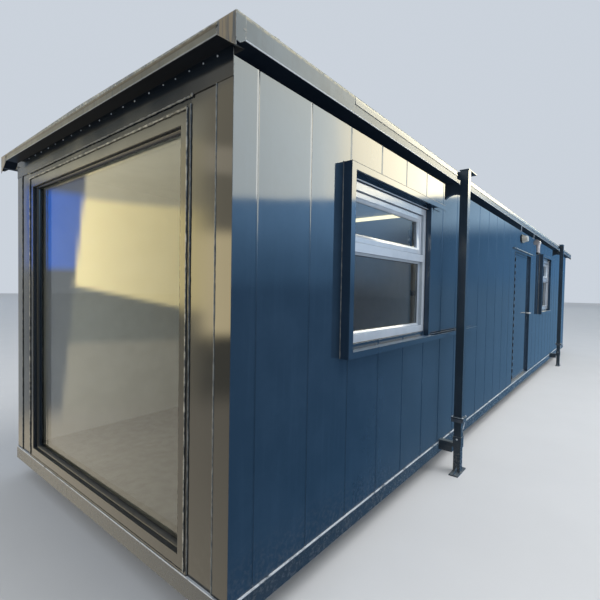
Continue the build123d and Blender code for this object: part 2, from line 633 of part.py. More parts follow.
def window_frame(centre, name):
    """White frame with a transom, a fixed pane below it and an opening fanlight set back above it."""
    half = WINDOW_WIDTH / 2 - WINDOW_FRAME
    fan_low = WINDOW_LOW + TRANSOM_LOW + TRANSOM_HEIGHT
    with BuildPart() as frame:
        front_rectangles(Y_FRONT + WINDOW_SETBACK, WINDOW_DEPTH, [window_hole(centre)])
        front_rectangles(Y_FRONT + WINDOW_SETBACK, WINDOW_DEPTH, window_openings(centre), Mode.SUBTRACT)
        front_rectangles(Y_FRONT + WINDOW_SETBACK, SASH_SETBACK - WINDOW_SETBACK, [
            (centre - half, centre + half, fan_low, WINDOW_HIGH - WINDOW_FRAME)], Mode.SUBTRACT)
        front_rectangles(Y_FRONT + PANE_SETBACK, PANE_THICKNESS, window_openings(centre, PANE_REBATE),
                         Mode.SUBTRACT)
    save(frame.part, name)


window_frame(WINDOW_1_X, "window_1_frame")
window_frame(WINDOW_2_X, "window_2_frame")

with BuildPart() as panes:
    for centre in (WINDOW_1_X, WINDOW_2_X):
        front_rectangles(Y_FRONT + PANE_SETBACK, PANE_THICKNESS, window_openings(centre, PANE_REBATE))
save(panes.part, "window_panes")


def window_surround(centre, top_reach, bottom_reach, name):
    """Steel surround that stands off the wall, with a slimmer member at the far side; its two channel
    rails run on past the window."""
    inner = WINDOW_WIDTH / 2
    outer = inner + SURROUND_SIDE
    far_outer = inner + SURROUND_FAR_SIDE
    top = WINDOW_HIGH + TOP_RAIL_OVER
    low = WINDOW_LOW - BOTTOM_RAIL_UNDER
    face = Y_FRONT - SURROUND_DEPTH
    slot_depth = SURROUND_DEPTH - 2 * RAIL_LIP
    top_end = centre + far_outer + top_reach
    bottom_end = centre + far_outer + bottom_reach
    with BuildPart() as surround:
        front_rectangles(face, SURROUND_DEPTH, [
            (centre - outer, centre - inner, low, top),
            (centre - outer, bottom_end, low - BOTTOM_RAIL_HEIGHT, low)])
        front_rectangles(Y_FRONT - SURROUND_FAR_DEPTH, SURROUND_FAR_DEPTH, [
            (centre + inner, centre + far_outer, low, top)])
        with BuildSketch(Plane.XZ.offset(-face)) as top_rail:
            with Locations(((centre - outer + top_end) / 2, top + TOP_RAIL_HEIGHT / 2)):
                Rectangle(top_end - centre + outer, TOP_RAIL_HEIGHT)
            last = top_rail.vertices().group_by(Axis.X)[-1].sort_by(Axis.Y)[-1]
            fillet(last, radius=TOP_RAIL_ROUNDING)
        extrude(top_rail.sketch, amount=-SURROUND_DEPTH)
        front_rectangles(face + RAIL_LIP, slot_depth, [
            (centre + far_outer, top_end, top, top + TOP_RAIL_HEIGHT - RAIL_LIP),
            (centre + far_outer, bottom_end, low - BOTTOM_RAIL_HEIGHT + RAIL_LIP, low)], Mode.SUBTRACT)
    save(surround.part, name)


window_surround(WINDOW_1_X, TOP_RAIL_1_REACH, BOTTOM_RAIL_1_REACH, "window_1_shroud")
window_surround(WINDOW_2_X, RAIL_2_REACH, RAIL_2_REACH, "window_2_shroud")

# Legs: square tubes outside the fascias, with a flange below and a long cap plate on top that
# reaches towards the middle of the cabin
LEG_PLACES = [(LEG_XS[end], LEG_YS[face], end, face) for face in LEG_YS for end in LEG_XS]
leg_hole = LEG_TUBE - 2 * LEG_WALL
cap_long, cap_wide = LEG_CAP
cap_shift = cap_long / 2 - LEG_TUBE / 2 - LEG_CAP_LIP
with BuildPart() as leg_tubes:
    for x, y, end, face in LEG_PLACES:
        with BuildSketch(Plane.XY.offset(LEG_TUBE_BOTTOM)):
            with Locations((x, y)):
                Rectangle(LEG_FLANGE, LEG_FLANGE)
                Rectangle(leg_hole, leg_hole, mode=Mode.SUBTRACT)
        extrude(amount=LEG_FLANGE_THICKNESS)
        with BuildSketch(Plane.XY.offset(LEG_TUBE_BOTTOM + LEG_FLANGE_THICKNESS)):
            with Locations((x, y)):
                Rectangle(LEG_TUBE, LEG_TUBE)
                Rectangle(leg_hole, leg_hole, mode=Mode.SUBTRACT)
        extrude(amount=LEG_CAP_TOP - LEG_CAP_THICKNESS - LEG_TUBE_BOTTOM - LEG_FLANGE_THICKNESS)
        with BuildSketch(Plane.XY.offset(LEG_CAP_TOP - LEG_CAP_THICKNESS)):
            with Locations((x + (cap_shift if end == "near" else -cap_shift), y)):
                Rectangle(cap_long, cap_wide)
        extrude(amount=LEG_CAP_THICKNESS)
save(leg_tubes.part, "leg_tubes")

# Upper brackets: a gusset under the eaves and a tie block from the fascia to the tube
def leg_frame(y):
    """Side of the cabin a leg stands on, and the wall face behind it."""
    out = -1 if y < 0 else 1
    return out, out * WIDTH / 2


with BuildPart() as upper_brackets:
    for x, y, end, face in LEG_PLACES:
        out, wall = leg_frame(y)
        tube = y - out * LEG_TUBE / 2
        eave = wall + out * OVERHANG_LONG
        with BuildSketch(Plane.YZ.offset(x - GUSSET_THICKNESS / 2)):
            with BuildLine():
                Polyline((wall, WALL_TOP - GUSSET_DROP), (wall, WALL_TOP), (eave, WALL_TOP),
                         (tube, WALL_TOP - GUSSET_TUBE_HIGH), (tube, WALL_TOP - GUSSET_TUBE_LOW))
                ThreePointArc((tube, WALL_TOP - GUSSET_TUBE_LOW), ((wall + tube) / 2, WALL_TOP - GUSSET_BOW),
                              (wall, WALL_TOP - GUSSET_DROP))
            make_face()
        extrude(amount=GUSSET_THICKNESS)
        slab(x - TIE_WIDTH / 2, x + TIE_WIDTH / 2, min(eave, tube), max(eave, tube),
             WALL_TOP + TIE_LOW, WALL_TOP + TIE_LOW + TIE_HEIGHT)
save(upper_brackets.part, "leg_upper_brackets")

# Lower brackets: a sleeve that guides the inner leg, on an arm from the base rail
sleeve = leg_hole + 2 * SLEEVE_WALL
sleeve_low = LINE_Z - SLEEVE_BELOW_LINE
with BuildPart() as lower_brackets:
    for x, y, end, face in LEG_PLACES:
        out, wall = leg_frame(y)
        with BuildSketch(Plane.XY.offset(sleeve_low)):
            with Locations((x, y)):
                Rectangle(sleeve, sleeve)
                Rectangle(leg_hole, leg_hole, mode=Mode.SUBTRACT)
        extrude(amount=SLEEVE_HEIGHT)
        rail = wall + out * RAIL_LEDGE
        inner = y - out * sleeve / 2
        clear = inner - out * ARM_CLEARANCE
        with BuildSketch(Plane.YZ.offset(x - ARM_WIDTH / 2)):
            with BuildLine():
                Polyline((rail, LINE_Z - ARM_BELOW_LINE), (rail, LINE_Z + ARM_ABOVE_LINE),
                         (inner, LINE_Z + ARM_ABOVE_LINE), (inner, sleeve_low), (clear, sleeve_low),
                         (clear, LINE_Z - ARM_BELOW_LINE), close=True)
            make_face()
        extrude(amount=ARM_WIDTH)
save(lower_brackets.part, "leg_lower_brackets")

# Inner legs with their foot plates, long along the cabin and braced by a gusset on each side
foot_long, foot_wide = FOOT_SIZE
for x, y, end, face in LEG_PLACES:
    with BuildPart() as inner_leg:
        with BuildSketch(Plane.XY):
            with Locations((x, y)):
                Rectangle(foot_long, foot_wide)
        extrude(amount=FOOT_THICKNESS)
        with BuildSketch(Plane.XY.offset(FOOT_THICKNESS)):
            with Locations((x, y)):
                Rectangle(INNER_LEG, INNER_LEG)
                Rectangle(INNER_LEG - 2 * INNER_LEG_WALL, INNER_LEG - 2 * INNER_LEG_WALL, mode=Mode.SUBTRACT)
        extrude(amount=INNER_LEG_TOP - FOOT_THICKNESS)
        with BuildSketch(Plane.XZ.offset(-y - FOOT_GUSSET_THICKNESS / 2)):
            for way in (-1, 1):
                with BuildLine():
                    Polyline((x + way * INNER_LEG / 2, FOOT_THICKNESS),
                             (x + way * foot_long / 2, FOOT_THICKNESS),
                             (x + way * INNER_LEG / 2, FOOT_THICKNESS + FOOT_GUSSET_HEIGHT), close=True)
                make_face()
        extrude(amount=FOOT_GUSSET_THICKNESS)
    save(inner_leg.part, f"inner_leg_{face}_{end}")

# Bulkhead light: shallow base and a domed cover
light_x = (DOOR_X0 + DOOR_X1) / 2 - LIGHT_OFF_CENTRE
light_z = LINE_Z + LIGHT_HEIGHT
light_w, light_h = LIGHT_SIZE
with BuildPart() as light:
    with BuildSketch(Plane.XZ.offset(-Y_FRONT)):
        with Locations((light_x, light_z)):
            RectangleRounded(light_w, light_h, light_h / 2 - 1)
    extrude(amount=LIGHT_BASE)
    with BuildSketch(Plane.XZ.offset(-Y_FRONT + LIGHT_BASE)):
        with Locations((light_x, light_z)):
            RectangleRounded(light_w * 0.92, light_h * 0.88, light_h * 0.44 - 1)
    extrude(amount=LIGHT_DEPTH - LIGHT_BASE, taper=14)
save(light.part, "bulkhead_light")

# Power inlet: round housing on a foot, with collared ends and two tapered sockets that hang from it
inlet_x = DOOR_X1 + INLET_FROM_DOOR
inlet_y = Y_FRONT - INLET_STAND_OFF
inlet_z = LINE_Z + INLET_HEIGHT
foot_w, foot_h = INLET_FOOT
collar, collar_radius = INLET_COLLAR
with BuildPart() as inlet:
    front_rectangles(inlet_y, INLET_STAND_OFF, [
        (inlet_x - foot_w / 2, inlet_x + foot_w / 2, inlet_z - foot_h / 2, inlet_z + foot_h / 2)])
    for start, length, radius in (
            (-INLET_LENGTH / 2, INLET_LENGTH, INLET_RADIUS),
            (-INLET_LENGTH / 2, collar, collar_radius),
            (INLET_LENGTH / 2 - collar, collar, collar_radius)):
        with BuildSketch(Plane.YZ.offset(inlet_x + start)):
            with Locations((inlet_y, inlet_z)):
                Circle(radius)
        extrude(amount=length)
    with BuildSketch(Plane.XY.offset(inlet_z)):
        with Locations((inlet_x, inlet_y - INLET_SOCKET_FORWARD)):
            with GridLocations(INLET_SOCKET_PITCH, 0, 2, 1):
                Circle(INLET_SOCKET_RADIUS)
    extrude(amount=-INLET_SOCKET_LENGTH - INLET_RADIUS, taper=INLET_SOCKET_TAPER)
save(inlet.part, "power_inlet")
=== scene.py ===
"""Looks of the portable site cabin: a finish for every solid, and the small parts fixed to them.

Metres, in the part's own frame: the origin is on the ground under the middle, the end with the
picture window faces -X, and the front with the door and the two windows faces -Y.
"""
import math
import random

import bmesh
import bpy
from mathutils import Matrix, Vector


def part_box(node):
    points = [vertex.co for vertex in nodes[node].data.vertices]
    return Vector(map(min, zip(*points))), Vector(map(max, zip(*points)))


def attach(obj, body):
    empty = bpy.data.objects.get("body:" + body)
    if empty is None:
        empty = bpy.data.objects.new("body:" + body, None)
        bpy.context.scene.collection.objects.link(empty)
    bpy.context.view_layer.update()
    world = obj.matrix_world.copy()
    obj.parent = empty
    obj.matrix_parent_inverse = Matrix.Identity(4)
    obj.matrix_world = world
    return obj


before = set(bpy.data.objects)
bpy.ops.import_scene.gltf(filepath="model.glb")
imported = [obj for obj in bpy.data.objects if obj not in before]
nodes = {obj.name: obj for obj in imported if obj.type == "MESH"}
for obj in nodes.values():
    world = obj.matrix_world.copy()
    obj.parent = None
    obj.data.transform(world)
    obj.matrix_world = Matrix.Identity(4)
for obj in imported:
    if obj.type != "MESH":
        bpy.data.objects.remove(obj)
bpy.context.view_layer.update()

# Lines of the cabin that the added parts are set against
X_NEAR, X_FAR = -6.096, 6.096
Y_FRONT, Y_BACK = -1.3715, 1.3715
BASE_LINE = 0.240
WALL_TOP = 2.630
HEADER_TOP = 2.675
ROOF_Z = 2.725
HEADER_LOW = 2.545
EAVE_Y = 0.110
EAVE_X = 0.087
PANELS = 30
CORNER_LONG = 0.153
CORNER_END = 0.111
PANEL_PITCH = (X_FAR - X_NEAR - 2 * CORNER_LONG) / PANELS
JOINT_XS = [X_NEAR + CORNER_LONG + PANEL_PITCH * n for n in range(PANELS + 1)]

PLUS_X, PLUS_Y, PLUS_Z = Vector((1, 0, 0)), Vector((0, 1, 0)), Vector((0, 0, 1))


# Materials

def new_material(name):
    material = bpy.data.materials.new(name)
    material.use_nodes = True
    return material, material.node_tree, material.node_tree.nodes["Principled BSDF"]


def feed(tree, socket, value):
    """Links a socket to another node's output, or sets its value."""
    if isinstance(value, bpy.types.NodeSocket):
        tree.links.new(value, socket)
    else:
        socket.default_value = value


def fill(tree, node, **inputs):
    """Feeds inputs of a node by name, with _ where the name has a space."""
    for key, value in inputs.items():
        feed(tree, node.inputs[key.replace("_", " ")], value)
    return node


def add_node(tree, kind, **inputs):
    """New node of a kind, with its inputs fed."""
    return fill(tree, tree.nodes.new(kind), **inputs)


def new_group(name, sockets_in, sockets_out):
    """Shader node group; sockets are (name, kind, default) and (name, kind)."""
    tree = bpy.data.node_groups.new(name, "ShaderNodeTree")
    for label, kind, default in sockets_in:
        socket = tree.interface.new_socket(label, in_out="INPUT", socket_type=kind)
        socket.default_value = default
    for label, kind in sockets_out:
        tree.interface.new_socket(label, in_out="OUTPUT", socket_type=kind)
    return tree, tree.nodes.new("NodeGroupInput"), tree.nodes.new("NodeGroupOutput")


def place_group(tree, group, **inputs):
    node = tree.nodes.new("ShaderNodeGroup")
    node.node_tree = group
    return fill(tree, node, **inputs)


def ramp(tree, factor, low, high, start=0.0, end=1.0):
    """Smooth step of a value from start to end."""
    node = add_node(tree, "ShaderNodeMapRange", Value=factor, From_Min=low, From_Max=high,
                    To_Min=start, To_Max=end)
    node.interpolation_type = "SMOOTHSTEP"
    return node.outputs["Result"]


def mix_colour(tree, factor, first, second):
    """Colour between two, each a colour or a node's output. The node's colour inputs are 6 and 7."""
    node = tree.nodes.new("ShaderNodeMix")
    node.data_type = "RGBA"
    feed(tree, node.inputs[0], factor)
    for index, value in ((6, first), (7, second)):
        feed(tree, node.inputs[index], (*value, 1.0) if isinstance(value, tuple) else value)
    return node.outputs[2]


def math_node(tree, operation, first, second=0.0):
    node = tree.nodes.new("ShaderNodeMath")
    node.operation = operation
    feed(tree, node.inputs[0], first)
    feed(tree, node.inputs[1], second)
    return node.outputs[0]


def product(tree, first, second):
    return math_node(tree, "MULTIPLY", first, second)


def lay(tree, tone, mask, share, colour):
    """Lays a colour over a tone by a share of a mask."""
    return mix_colour(tree, product(tree, mask, share), tone, colour)


def object_noise(tree, scale, detail=3.0, roughness=0.55, stretch=(1.0, 1.0, 1.0)):
    """Noise over the part's own coordinates, stretched per axis."""
    place = tree.nodes.new("ShaderNodeTexCoord")
    mapping = add_node(tree, "ShaderNodeMapping", Vector=place.outputs["Object"], Scale=stretch)
    noise = add_node(tree, "ShaderNodeTexNoise", Vector=mapping.outputs["Vector"], Scale=scale,
                     Detail=detail, Roughness=roughness)
    return noise.outputs["Fac"]


def object_axis(tree, axis):
    """One coordinate of the part's own frame."""
    place = tree.nodes.new("ShaderNodeTexCoord")
    return add_node(tree, "ShaderNodeSeparateXYZ", Vector=place.outputs["Object"]).outputs[axis]


def off_middle(tree):
    """Distance from the middle plane of the cabin."""
    return math_node(tree, "ABSOLUTE", object_axis(tree, "Y"))


def coat_over(material, mask, colour):
    """Lays a second colour over a finish where the mask, made in the material's tree, is 1."""
    tree = material.node_tree
    base = tree.nodes["Principled BSDF"].inputs["Base Color"]
    tree.links.new(mix_colour(tree, mask(tree), base.links[0].from_socket, colour), base)
    return material


def make_sheet_metal_group():
    """Slight waves of painted sheet and fine orange peel, as a normal, with soft edges."""
    tree, given, result = new_group(
        "sheet_metal_surface",
        [("Wave", "NodeSocketFloat", 0.3), ("Peel", "NodeSocketFloat", 0.05),
         ("Edge", "NodeSocketFloat", 0.002)],
        [("Normal", "NodeSocketVector"), ("Edge Mask", "NodeSocketFloat")])
    bevel = add_node(tree, "ShaderNodeBevel", Radius=given.outputs["Edge"])
    bevel.samples = 4
    geometry = tree.nodes.new("ShaderNodeNewGeometry")
    facing = tree.nodes.new("ShaderNodeVectorMath")
    facing.operation = "DOT_PRODUCT"
    tree.links.new(bevel.outputs["Normal"], facing.inputs[0])
    tree.links.new(geometry.outputs["Normal"], facing.inputs[1])
    waves = object_noise(tree, 1.9, detail=2.0, roughness=0.4, stretch=(1.0, 1.0, 0.45))
    peel = object_noise(tree, 220.0, detail=1.0)
    wave_bump = add_node(tree, "ShaderNodeBump", Strength=given.outputs["Wave"], Distance=0.012, Height=waves,
                         Normal=bevel.outputs["Normal"])
    peel_bump = add_node(tree, "ShaderNodeBump", Strength=given.outputs["Peel"], Distance=0.0004, Height=peel,
                         Normal=wave_bump.outputs["Normal"])
    fill(tree, result, Normal=peel_bump.outputs["Normal"],
         Edge_Mask=ramp(tree, facing.outputs["Value"], 0.995, 0.80))
    return tree


def make_weather_group():
    """Dust that gathers low down, rain streaks that run down, and blotches: three masks."""
    tree, given, result = new_group(
        "weather_masks",
        [("Dust Top", "NodeSocketFloat", 0.55), ("Streak Scale", "NodeSocketFloat", 26.0)],
        [("Dust", "NodeSocketFloat"), ("Streaks", "NodeSocketFloat"), ("Blotches", "NodeSocketFloat")])
    height = math_node(tree, "DIVIDE", object_axis(tree, "Z"), given.outputs["Dust Top"])
    fleck = object_noise(tree, 38.0, detail=5.0, roughness=0.7)
    streak = object_noise(tree, given.outputs["Streak Scale"], detail=4.0, roughness=0.6,
                          stretch=(1.0, 1.0, 0.06))
    blotch = object_noise(tree, 3.1, detail=6.0, roughness=0.62)
    fill(tree, result, Dust=product(tree, ramp(tree, height, 1.0, 0.2), ramp(tree, fleck, 0.42, 0.68)),
         Streaks=ramp(tree, streak, 0.50, 0.72), Blotches=ramp(tree, blotch, 0.40, 0.66))
    return tree


SHEET_METAL = make_sheet_metal_group()
WEATHER = make_weather_group()


def gloss_paint(name, colour, roughness=0.05, wave=0.25, dust=0.18, edge=0.002, edge_wear=0.25, dust_top=0.55,
                specular=0.5):
    """Gloss paint on steel: a slight ripple, dust low down, faint streaks and worn edges."""
    material, tree, shader = new_material(name)
    surface = place_group(tree, SHEET_METAL, Wave=wave, Peel=0.05, Edge=edge)
    weather = place_group(tree, WEATHER, Dust_Top=dust_top)
    pale = tuple(min(1.0, c * 1.9 + 0.008) for c in colour)
    tone = lay(tree, colour, weather.outputs["Blotches"], 0.16, pale)
    tone = lay(tree, tone, weather.outputs["Streaks"], 0.10, pale)
    tone = lay(tree, tone, weather.outputs["Dust"], dust, (0.20, 0.18, 0.15))
    chips = product(tree, surface.outputs["Edge Mask"],
                      ramp(tree, object_noise(tree, 30.0, detail=5.0, roughness=0.75), 0.48, 0.62))
    tone = lay(tree, tone, chips, edge_wear, (0.30, 0.31, 0.31))
    facing = tree.nodes.new("ShaderNodeNewGeometry")
    upward = add_node(tree, "ShaderNodeSeparateXYZ", Vector=facing.outputs["Normal"]).outputs["Z"]
    settled = product(tree, ramp(tree, upward, 0.6, 0.9), 0.5)
    rough = math_node(tree, "ADD", product(tree, weather.outputs["Blotches"], 0.03), settled)
    dusty = product(tree, weather.outputs["Dust"], dust)
    rough = math_node(tree, "ADD", math_node(tree, "ADD", rough, dusty), roughness)
    fill(tree, shader, Base_Color=tone, Roughness=rough, Specular_IOR_Level=specular,
         Normal=surface.outputs["Normal"])
    return material


SIDE_BLUE = (0.016, 0.034, 0.060)
# The near end gets a darker, greyer copy of the side blue: painted shade for the duller light on the ends.
END_SHADE_TONE = (0.014, 0.015, 0.015)
SKIN_Y = 1.3708

side_paint = gloss_paint("side_paint", SIDE_BLUE, edge=0.003)
# Paint of the near end, in the darker end tone: painted shade.
end_shaded_paint = gloss_paint("end_shaded_paint", END_SHADE_TONE, roughness=0.10, wave=0.20, edge=0.003)
# Header in a darker copy of the end paint: painted shade under the eaves.
header_shade_paint = gloss_paint("header_shade_paint", (0.007, 0.010, 0.014), roughness=0.14, wave=0.5, dust=0.0,
                           specular=0.30)
# Darker than the side blue: painted shade at the bottom of the wall grooves.
groove_shade_paint = gloss_paint("groove_shade_paint", (0.011, 0.023, 0.041), roughness=0.16, wave=0.1, dust=0.0,
                          edge=0.0002)
surround_paint = gloss_paint("surround_paint", SIDE_BLUE, edge=0.0008, edge_wear=0.6, dust_top=0.10)
collar_paint = gloss_paint("collar_paint", (0.055, 0.070, 0.090), roughness=0.22, wave=0.05, dust=0.1,
                           edge_wear=0.8)
leg_paint = gloss_paint("leg_paint", (0.014, 0.026, 0.040), roughness=0.20, wave=0.05, dust=0.14,
                        edge_wear=0.6, dust_top=0.35)
# Near-black under the eaves: painted shade.
soffit_shade_paint = gloss_paint("soffit_shade_paint", (0.004, 0.006, 0.010), roughness=0.45, wave=0.1, dust=0.0,
                           specular=0.15)
lip_paint = gloss_paint("lip_paint", SIDE_BLUE, edge=0.0002, wave=0.1)
# Paler than the wall paint: a painted highlight along the door flashing.
flashing_highlight_paint = gloss_paint("flashing_highlight_paint", (0.10, 0.135, 0.17), roughness=0.25, wave=0.1)
# The end-facing side of each near post takes the darker end tone: painted shade, as on the end panels.
near_post_paint = coat_over(
    gloss_paint("near_post_paint", SIDE_BLUE, roughness=0.06, wave=0.20, edge=0.004),
    lambda tree: ramp(tree, off_middle(tree), SKIN_Y, SKIN_Y - 0.0008),
    END_SHADE_TONE)


def top_edge_highlight(tree):
    """Painted highlight: a bright, broken line along the top edge of the base rail."""
    line = ramp(tree, object_axis(tree, "Z"), BASE_LINE - 0.0085, BASE_LINE - 0.004)
    highlight_breaks = ramp(tree, object_noise(tree, 9.0, detail=6.0, roughness=0.75), 0.30, 0.50)
    return product(tree, line, highlight_breaks)


# Base rail paint with a painted highlight along its top edge.
base_rail_paint = coat_over(
    gloss_paint("base_rail_paint", (0.018, 0.028, 0.040), roughness=0.18, wave=0.1, dust=0.16, edge_wear=0.6),
    top_edge_highlight, (0.52, 0.55, 0.58))


def make_fascia_paint(name, colour, stain, growth, lip, roughness=0.30, streaks=0.35, worn=0.8,
                      foot=WALL_TOP, trim=0.0):
    """Weathered paint: vertical stains, a painted highlight along the lower lip, chipped folds, brown trim
    and growth above.
    """
    material, tree, shader = new_material(name)
    surface = place_group(tree, SHEET_METAL, Wave=0.12, Peel=0.1, Edge=0.004)
    weather = place_group(tree, WEATHER, Streak_Scale=34.0)
    height = object_axis(tree, "Z")
    pale = tuple(min(1.0, c * 1.45) for c in colour)
    tone = mix_colour(tree, weather.outputs["Blotches"], colour, pale)
    tone = lay(tree, tone, weather.outputs["Streaks"], streaks, stain)
    over = ramp(tree, height, ROOF_Z - 0.0185, ROOF_Z - 0.0170)
    tone = lay(tree, tone, over, trim, (0.075, 0.058, 0.040))
    upper = ramp(tree, height, ROOF_Z - 0.013, ROOF_Z - 0.007)
    fleck = object_noise(tree, 34.0, detail=8.0, roughness=0.8)
    grown = product(tree, upper, ramp(tree, fleck, 0.42, 0.54))
    tone = lay(tree, tone, grown, growth, (0.27, 0.245, 0.175))
    # Painted highlight along the lower lip.
    lower = ramp(tree, height, foot + 0.0065, foot + 0.0045)
    tone = lay(tree, tone, lower, lip, (0.44, 0.47, 0.51))
    chips = product(tree, surface.outputs["Edge Mask"],
                      ramp(tree, object_noise(tree, 46.0, detail=5.0, roughness=0.8), 0.42, 0.52))
    tone = lay(tree, tone, chips, worn, (0.72, 0.73, 0.72))
    fill(tree, shader, Base_Color=tone, Roughness=roughness, Specular_IOR_Level=0.16,
         Normal=surface.outputs["Normal"])
    return material


LONG_GREY = (0.070, 0.084, 0.095)
LONG_STAIN = (0.055, 0.060, 0.062)
long_fascia_paint = make_fascia_paint("long_fascia_paint", LONG_GREY, LONG_STAIN, 0.9, 0.9)
edge_strip_paint = make_fascia_paint("edge_strip_paint", (0.13, 0.14, 0.14), (0.17, 0.16, 0.13), 1.0, 0.0,
                                     roughness=0.26)
# The end fascias get a lighter, warmer copy of the fascia grey: painted light on the ends, with stains and
# growth.
end_fascia_lit_paint = make_fascia_paint("end_fascia_lit_paint", (0.115, 0.112, 0.092), (0.070, 0.078, 0.076),
                                     0.45, 0.30, roughness=0.38, streaks=0.8, worn=0.5, foot=HEADER_TOP,
                                     trim=0.75)


def tan_end_runs(tree):
    """Tan runs down the narrow end of each corner cap: partly stains, partly painted warm light on the end
    side.
    """
    run = ramp(tree, object_noise(tree, 60.0, detail=4.0, stretch=(1.0, 1.0, 0.06)), 0.36, 0.56)
    return product(tree, ramp(tree, off_middle(tree), 1.4811, 1.4803), run)


# Corner caps, tan down their end sides: partly painted warm light.
cap_paint = coat_over(make_fascia_paint("cap_paint", LONG_GREY, LONG_STAIN, 0.4, 0.0, worn=1.0), tan_end_runs,
                      (0.22, 0.18, 0.125))


def make_roof_coat():
    """Grey coated sheet with lichen, darker where water lies, and a pale rubbed rim."""
    material, tree, shader = new_material("roof_coat")
    weather = place_group(tree, WEATHER, Streak_Scale=12.0)
    tone = mix_colour(tree, weather.outputs["Blotches"], (0.17, 0.18, 0.18), (0.27, 0.27, 0.25))
    fleck = object_noise(tree, 42.0, detail=8.0, roughness=0.82)
    tone = mix_colour(tree, ramp(tree, fleck, 0.50, 0.60), tone, (0.50, 0.49, 0.40))
    tone = mix_colour(tree, ramp(tree, off_middle(tree), 1.470, 1.475), tone, (0.33, 0.32, 0.26))
    bump = add_node(tree, "ShaderNodeBump", Strength=0.5, Distance=0.004, Height=fleck)
    fill(tree, shader, Base_Color=tone, Roughness=0.75, Normal=bump.outputs["Normal"])
    return material


roof_coat = make_roof_coat()


def make_satin(name, colour, second, scale, roughness, bump=0.0, stretch=(1.0, 1.0, 1.0)):
    """Plain satin surface with a faint change of tone, and relief where asked."""
    material, tree, shader = new_material(name)
    noise = object_noise(tree, scale, detail=5.0, roughness=0.6, stretch=stretch)
    tone = mix_colour(tree, ramp(tree, noise, 0.35, 0.65), colour, second)
    fill(tree, shader, Base_Color=tone, Roughness=roughness)
    if bump:
        relief = add_node(tree, "ShaderNodeBump", Strength=bump, Distance=0.001, Height=noise)
        fill(tree, shader, Normal=relief.outputs["Normal"])
    return material


lining = make_satin("cream_lining", (0.62, 0.59, 0.50), (0.68, 0.65, 0.56), 4.0, 0.5)
timber = make_satin("dark_timber", (0.055, 0.036, 0.022), (0.11, 0.075, 0.045), 9.0, 0.8, 0.4,
                    (0.15, 1.0, 1.0))
floor_vinyl = make_satin("floor_vinyl", (0.20, 0.18, 0.15), (0.26, 0.24, 0.20), 14.0, 0.42, 0.1)
# White plastic darkened to a cool blue-grey: painted shade on the white frames.
shaded_white_plastic = make_satin("shaded_white_frame_plastic", (0.37, 0.415, 0.47), (0.42, 0.465, 0.52), 6.0, 0.14)
rubber = make_satin("black_rubber", (0.008, 0.008, 0.009), (0.014, 0.014, 0.015), 60.0, 0.6)
grey_plastic = make_satin("grey_plastic", (0.34, 0.33, 0.34), (0.42, 0.40, 0.40), 20.0, 0.4)
opal_cover = coat_over(make_satin("opal_cover", (0.46, 0.45, 0.40), (0.52, 0.51, 0.46), 12.0, 0.25),
                       lambda tree: ramp(tree, object_axis(tree, "Y"), Y_FRONT - 0.0225, Y_FRONT - 0.0215),
                       (0.016, 0.017, 0.018))
lit_cream = make_satin("lit_cream_batten", (0.80, 0.72, 0.46), (0.86, 0.78, 0.52), 8.0, 0.4)
fill(lit_cream.node_tree, lit_cream.node_tree.nodes["Principled BSDF"],
     Emission_Color=(1.0, 0.86, 0.50, 1.0), Emission_Strength=2.6)
galvanised = make_satin("galvanised_steel", (0.30, 0.33, 0.37), (0.46, 0.49, 0.52), 90.0, 0.35)
dark_plastic = make_satin("dark_plastic", (0.016, 0.017, 0.018), (0.024, 0.025, 0.026), 40.0, 0.45)
# Pale mottled beads on the ridge: painted highlight, partly sealant.
ridge_highlight_and_sealant = make_satin("ridge_highlight_and_sealant", (0.06, 0.06, 0.055), (0.46, 0.43, 0.35), 34.0, 0.4)
sealant = make_satin("grey_sealant", (0.085, 0.090, 0.090), (0.20, 0.20, 0.185), 30.0, 0.55, 0.5)
seam_shadow = make_satin("seam_shadow", (0.004, 0.007, 0.012), (0.007, 0.010, 0.016), 50.0, 0.5)


def make_bright_steel():
    material, tree, shader = new_material("bright_steel")
    brushed = object_noise(tree, 160.0, detail=3.0, stretch=(1.0, 1.0, 0.08))
    fill(tree, shader, Base_Color=mix_colour(tree, brushed, (0.55, 0.55, 0.54), (0.72, 0.72, 0.70)),
         Roughness=ramp(tree, brushed, 0.3, 0.7, 0.20, 0.36), Metallic=1.0)
    return material


bright_steel = make_bright_steel()
handle_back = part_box("door_handle")[1].y
handle_finish = coat_over(
    make_satin("handle_finish", (0.60, 0.60, 0.59), (0.70, 0.70, 0.68), 120.0, 0.25, stretch=(1.0, 1.0, 0.1)),
    lambda tree: ramp(tree, object_axis(tree, "Y"), handle_back - 0.0062, handle_back - 0.0060),
    (0.020, 0.026, 0.034))


def make_glass(name, tint, through):
    """Clear glazing. Light from outside passes it, so that the room behind isn't black."""
    material, tree, shader = new_material(name)
    smear = object_noise(tree, 2.2, detail=4.0, roughness=0.65)
    fill(tree, shader, Transmission_Weight=1.0, IOR=1.45, Roughness=ramp(tree, smear, 0.45, 0.75, 0.0, 0.035),
         Base_Color=mix_colour(tree, smear, tint, tuple(c * 0.96 for c in tint)))
    path = tree.nodes.new("ShaderNodeLightPath")
    clear = add_node(tree, "ShaderNodeBsdfTransparent", Color=(*through, 1.0))
    either = math_node(tree, "MAXIMUM", path.outputs["Is Shadow Ray"], path.outputs["Is Diffuse Ray"])
    mixed = add_node(tree, "ShaderNodeMixShader", Fac=either)
    tree.links.new(shader.outputs["BSDF"], mixed.inputs[1])
    tree.links.new(clear.outputs["BSDF"], mixed.inputs[2])
    tree.links.new(mixed.outputs["Shader"], tree.nodes["Material Output"].inputs["Surface"])
    return material


window_glass = make_glass("window_glass", (0.93, 0.95, 0.94), (0.85, 0.87, 0.86))
# Side panes tinted far darker than the picture window: painted shade for the dim room behind them.
shaded_side_glass = make_glass("shaded_side_window_glass", (0.50, 0.53, 0.55), (0.66, 0.69, 0.70))

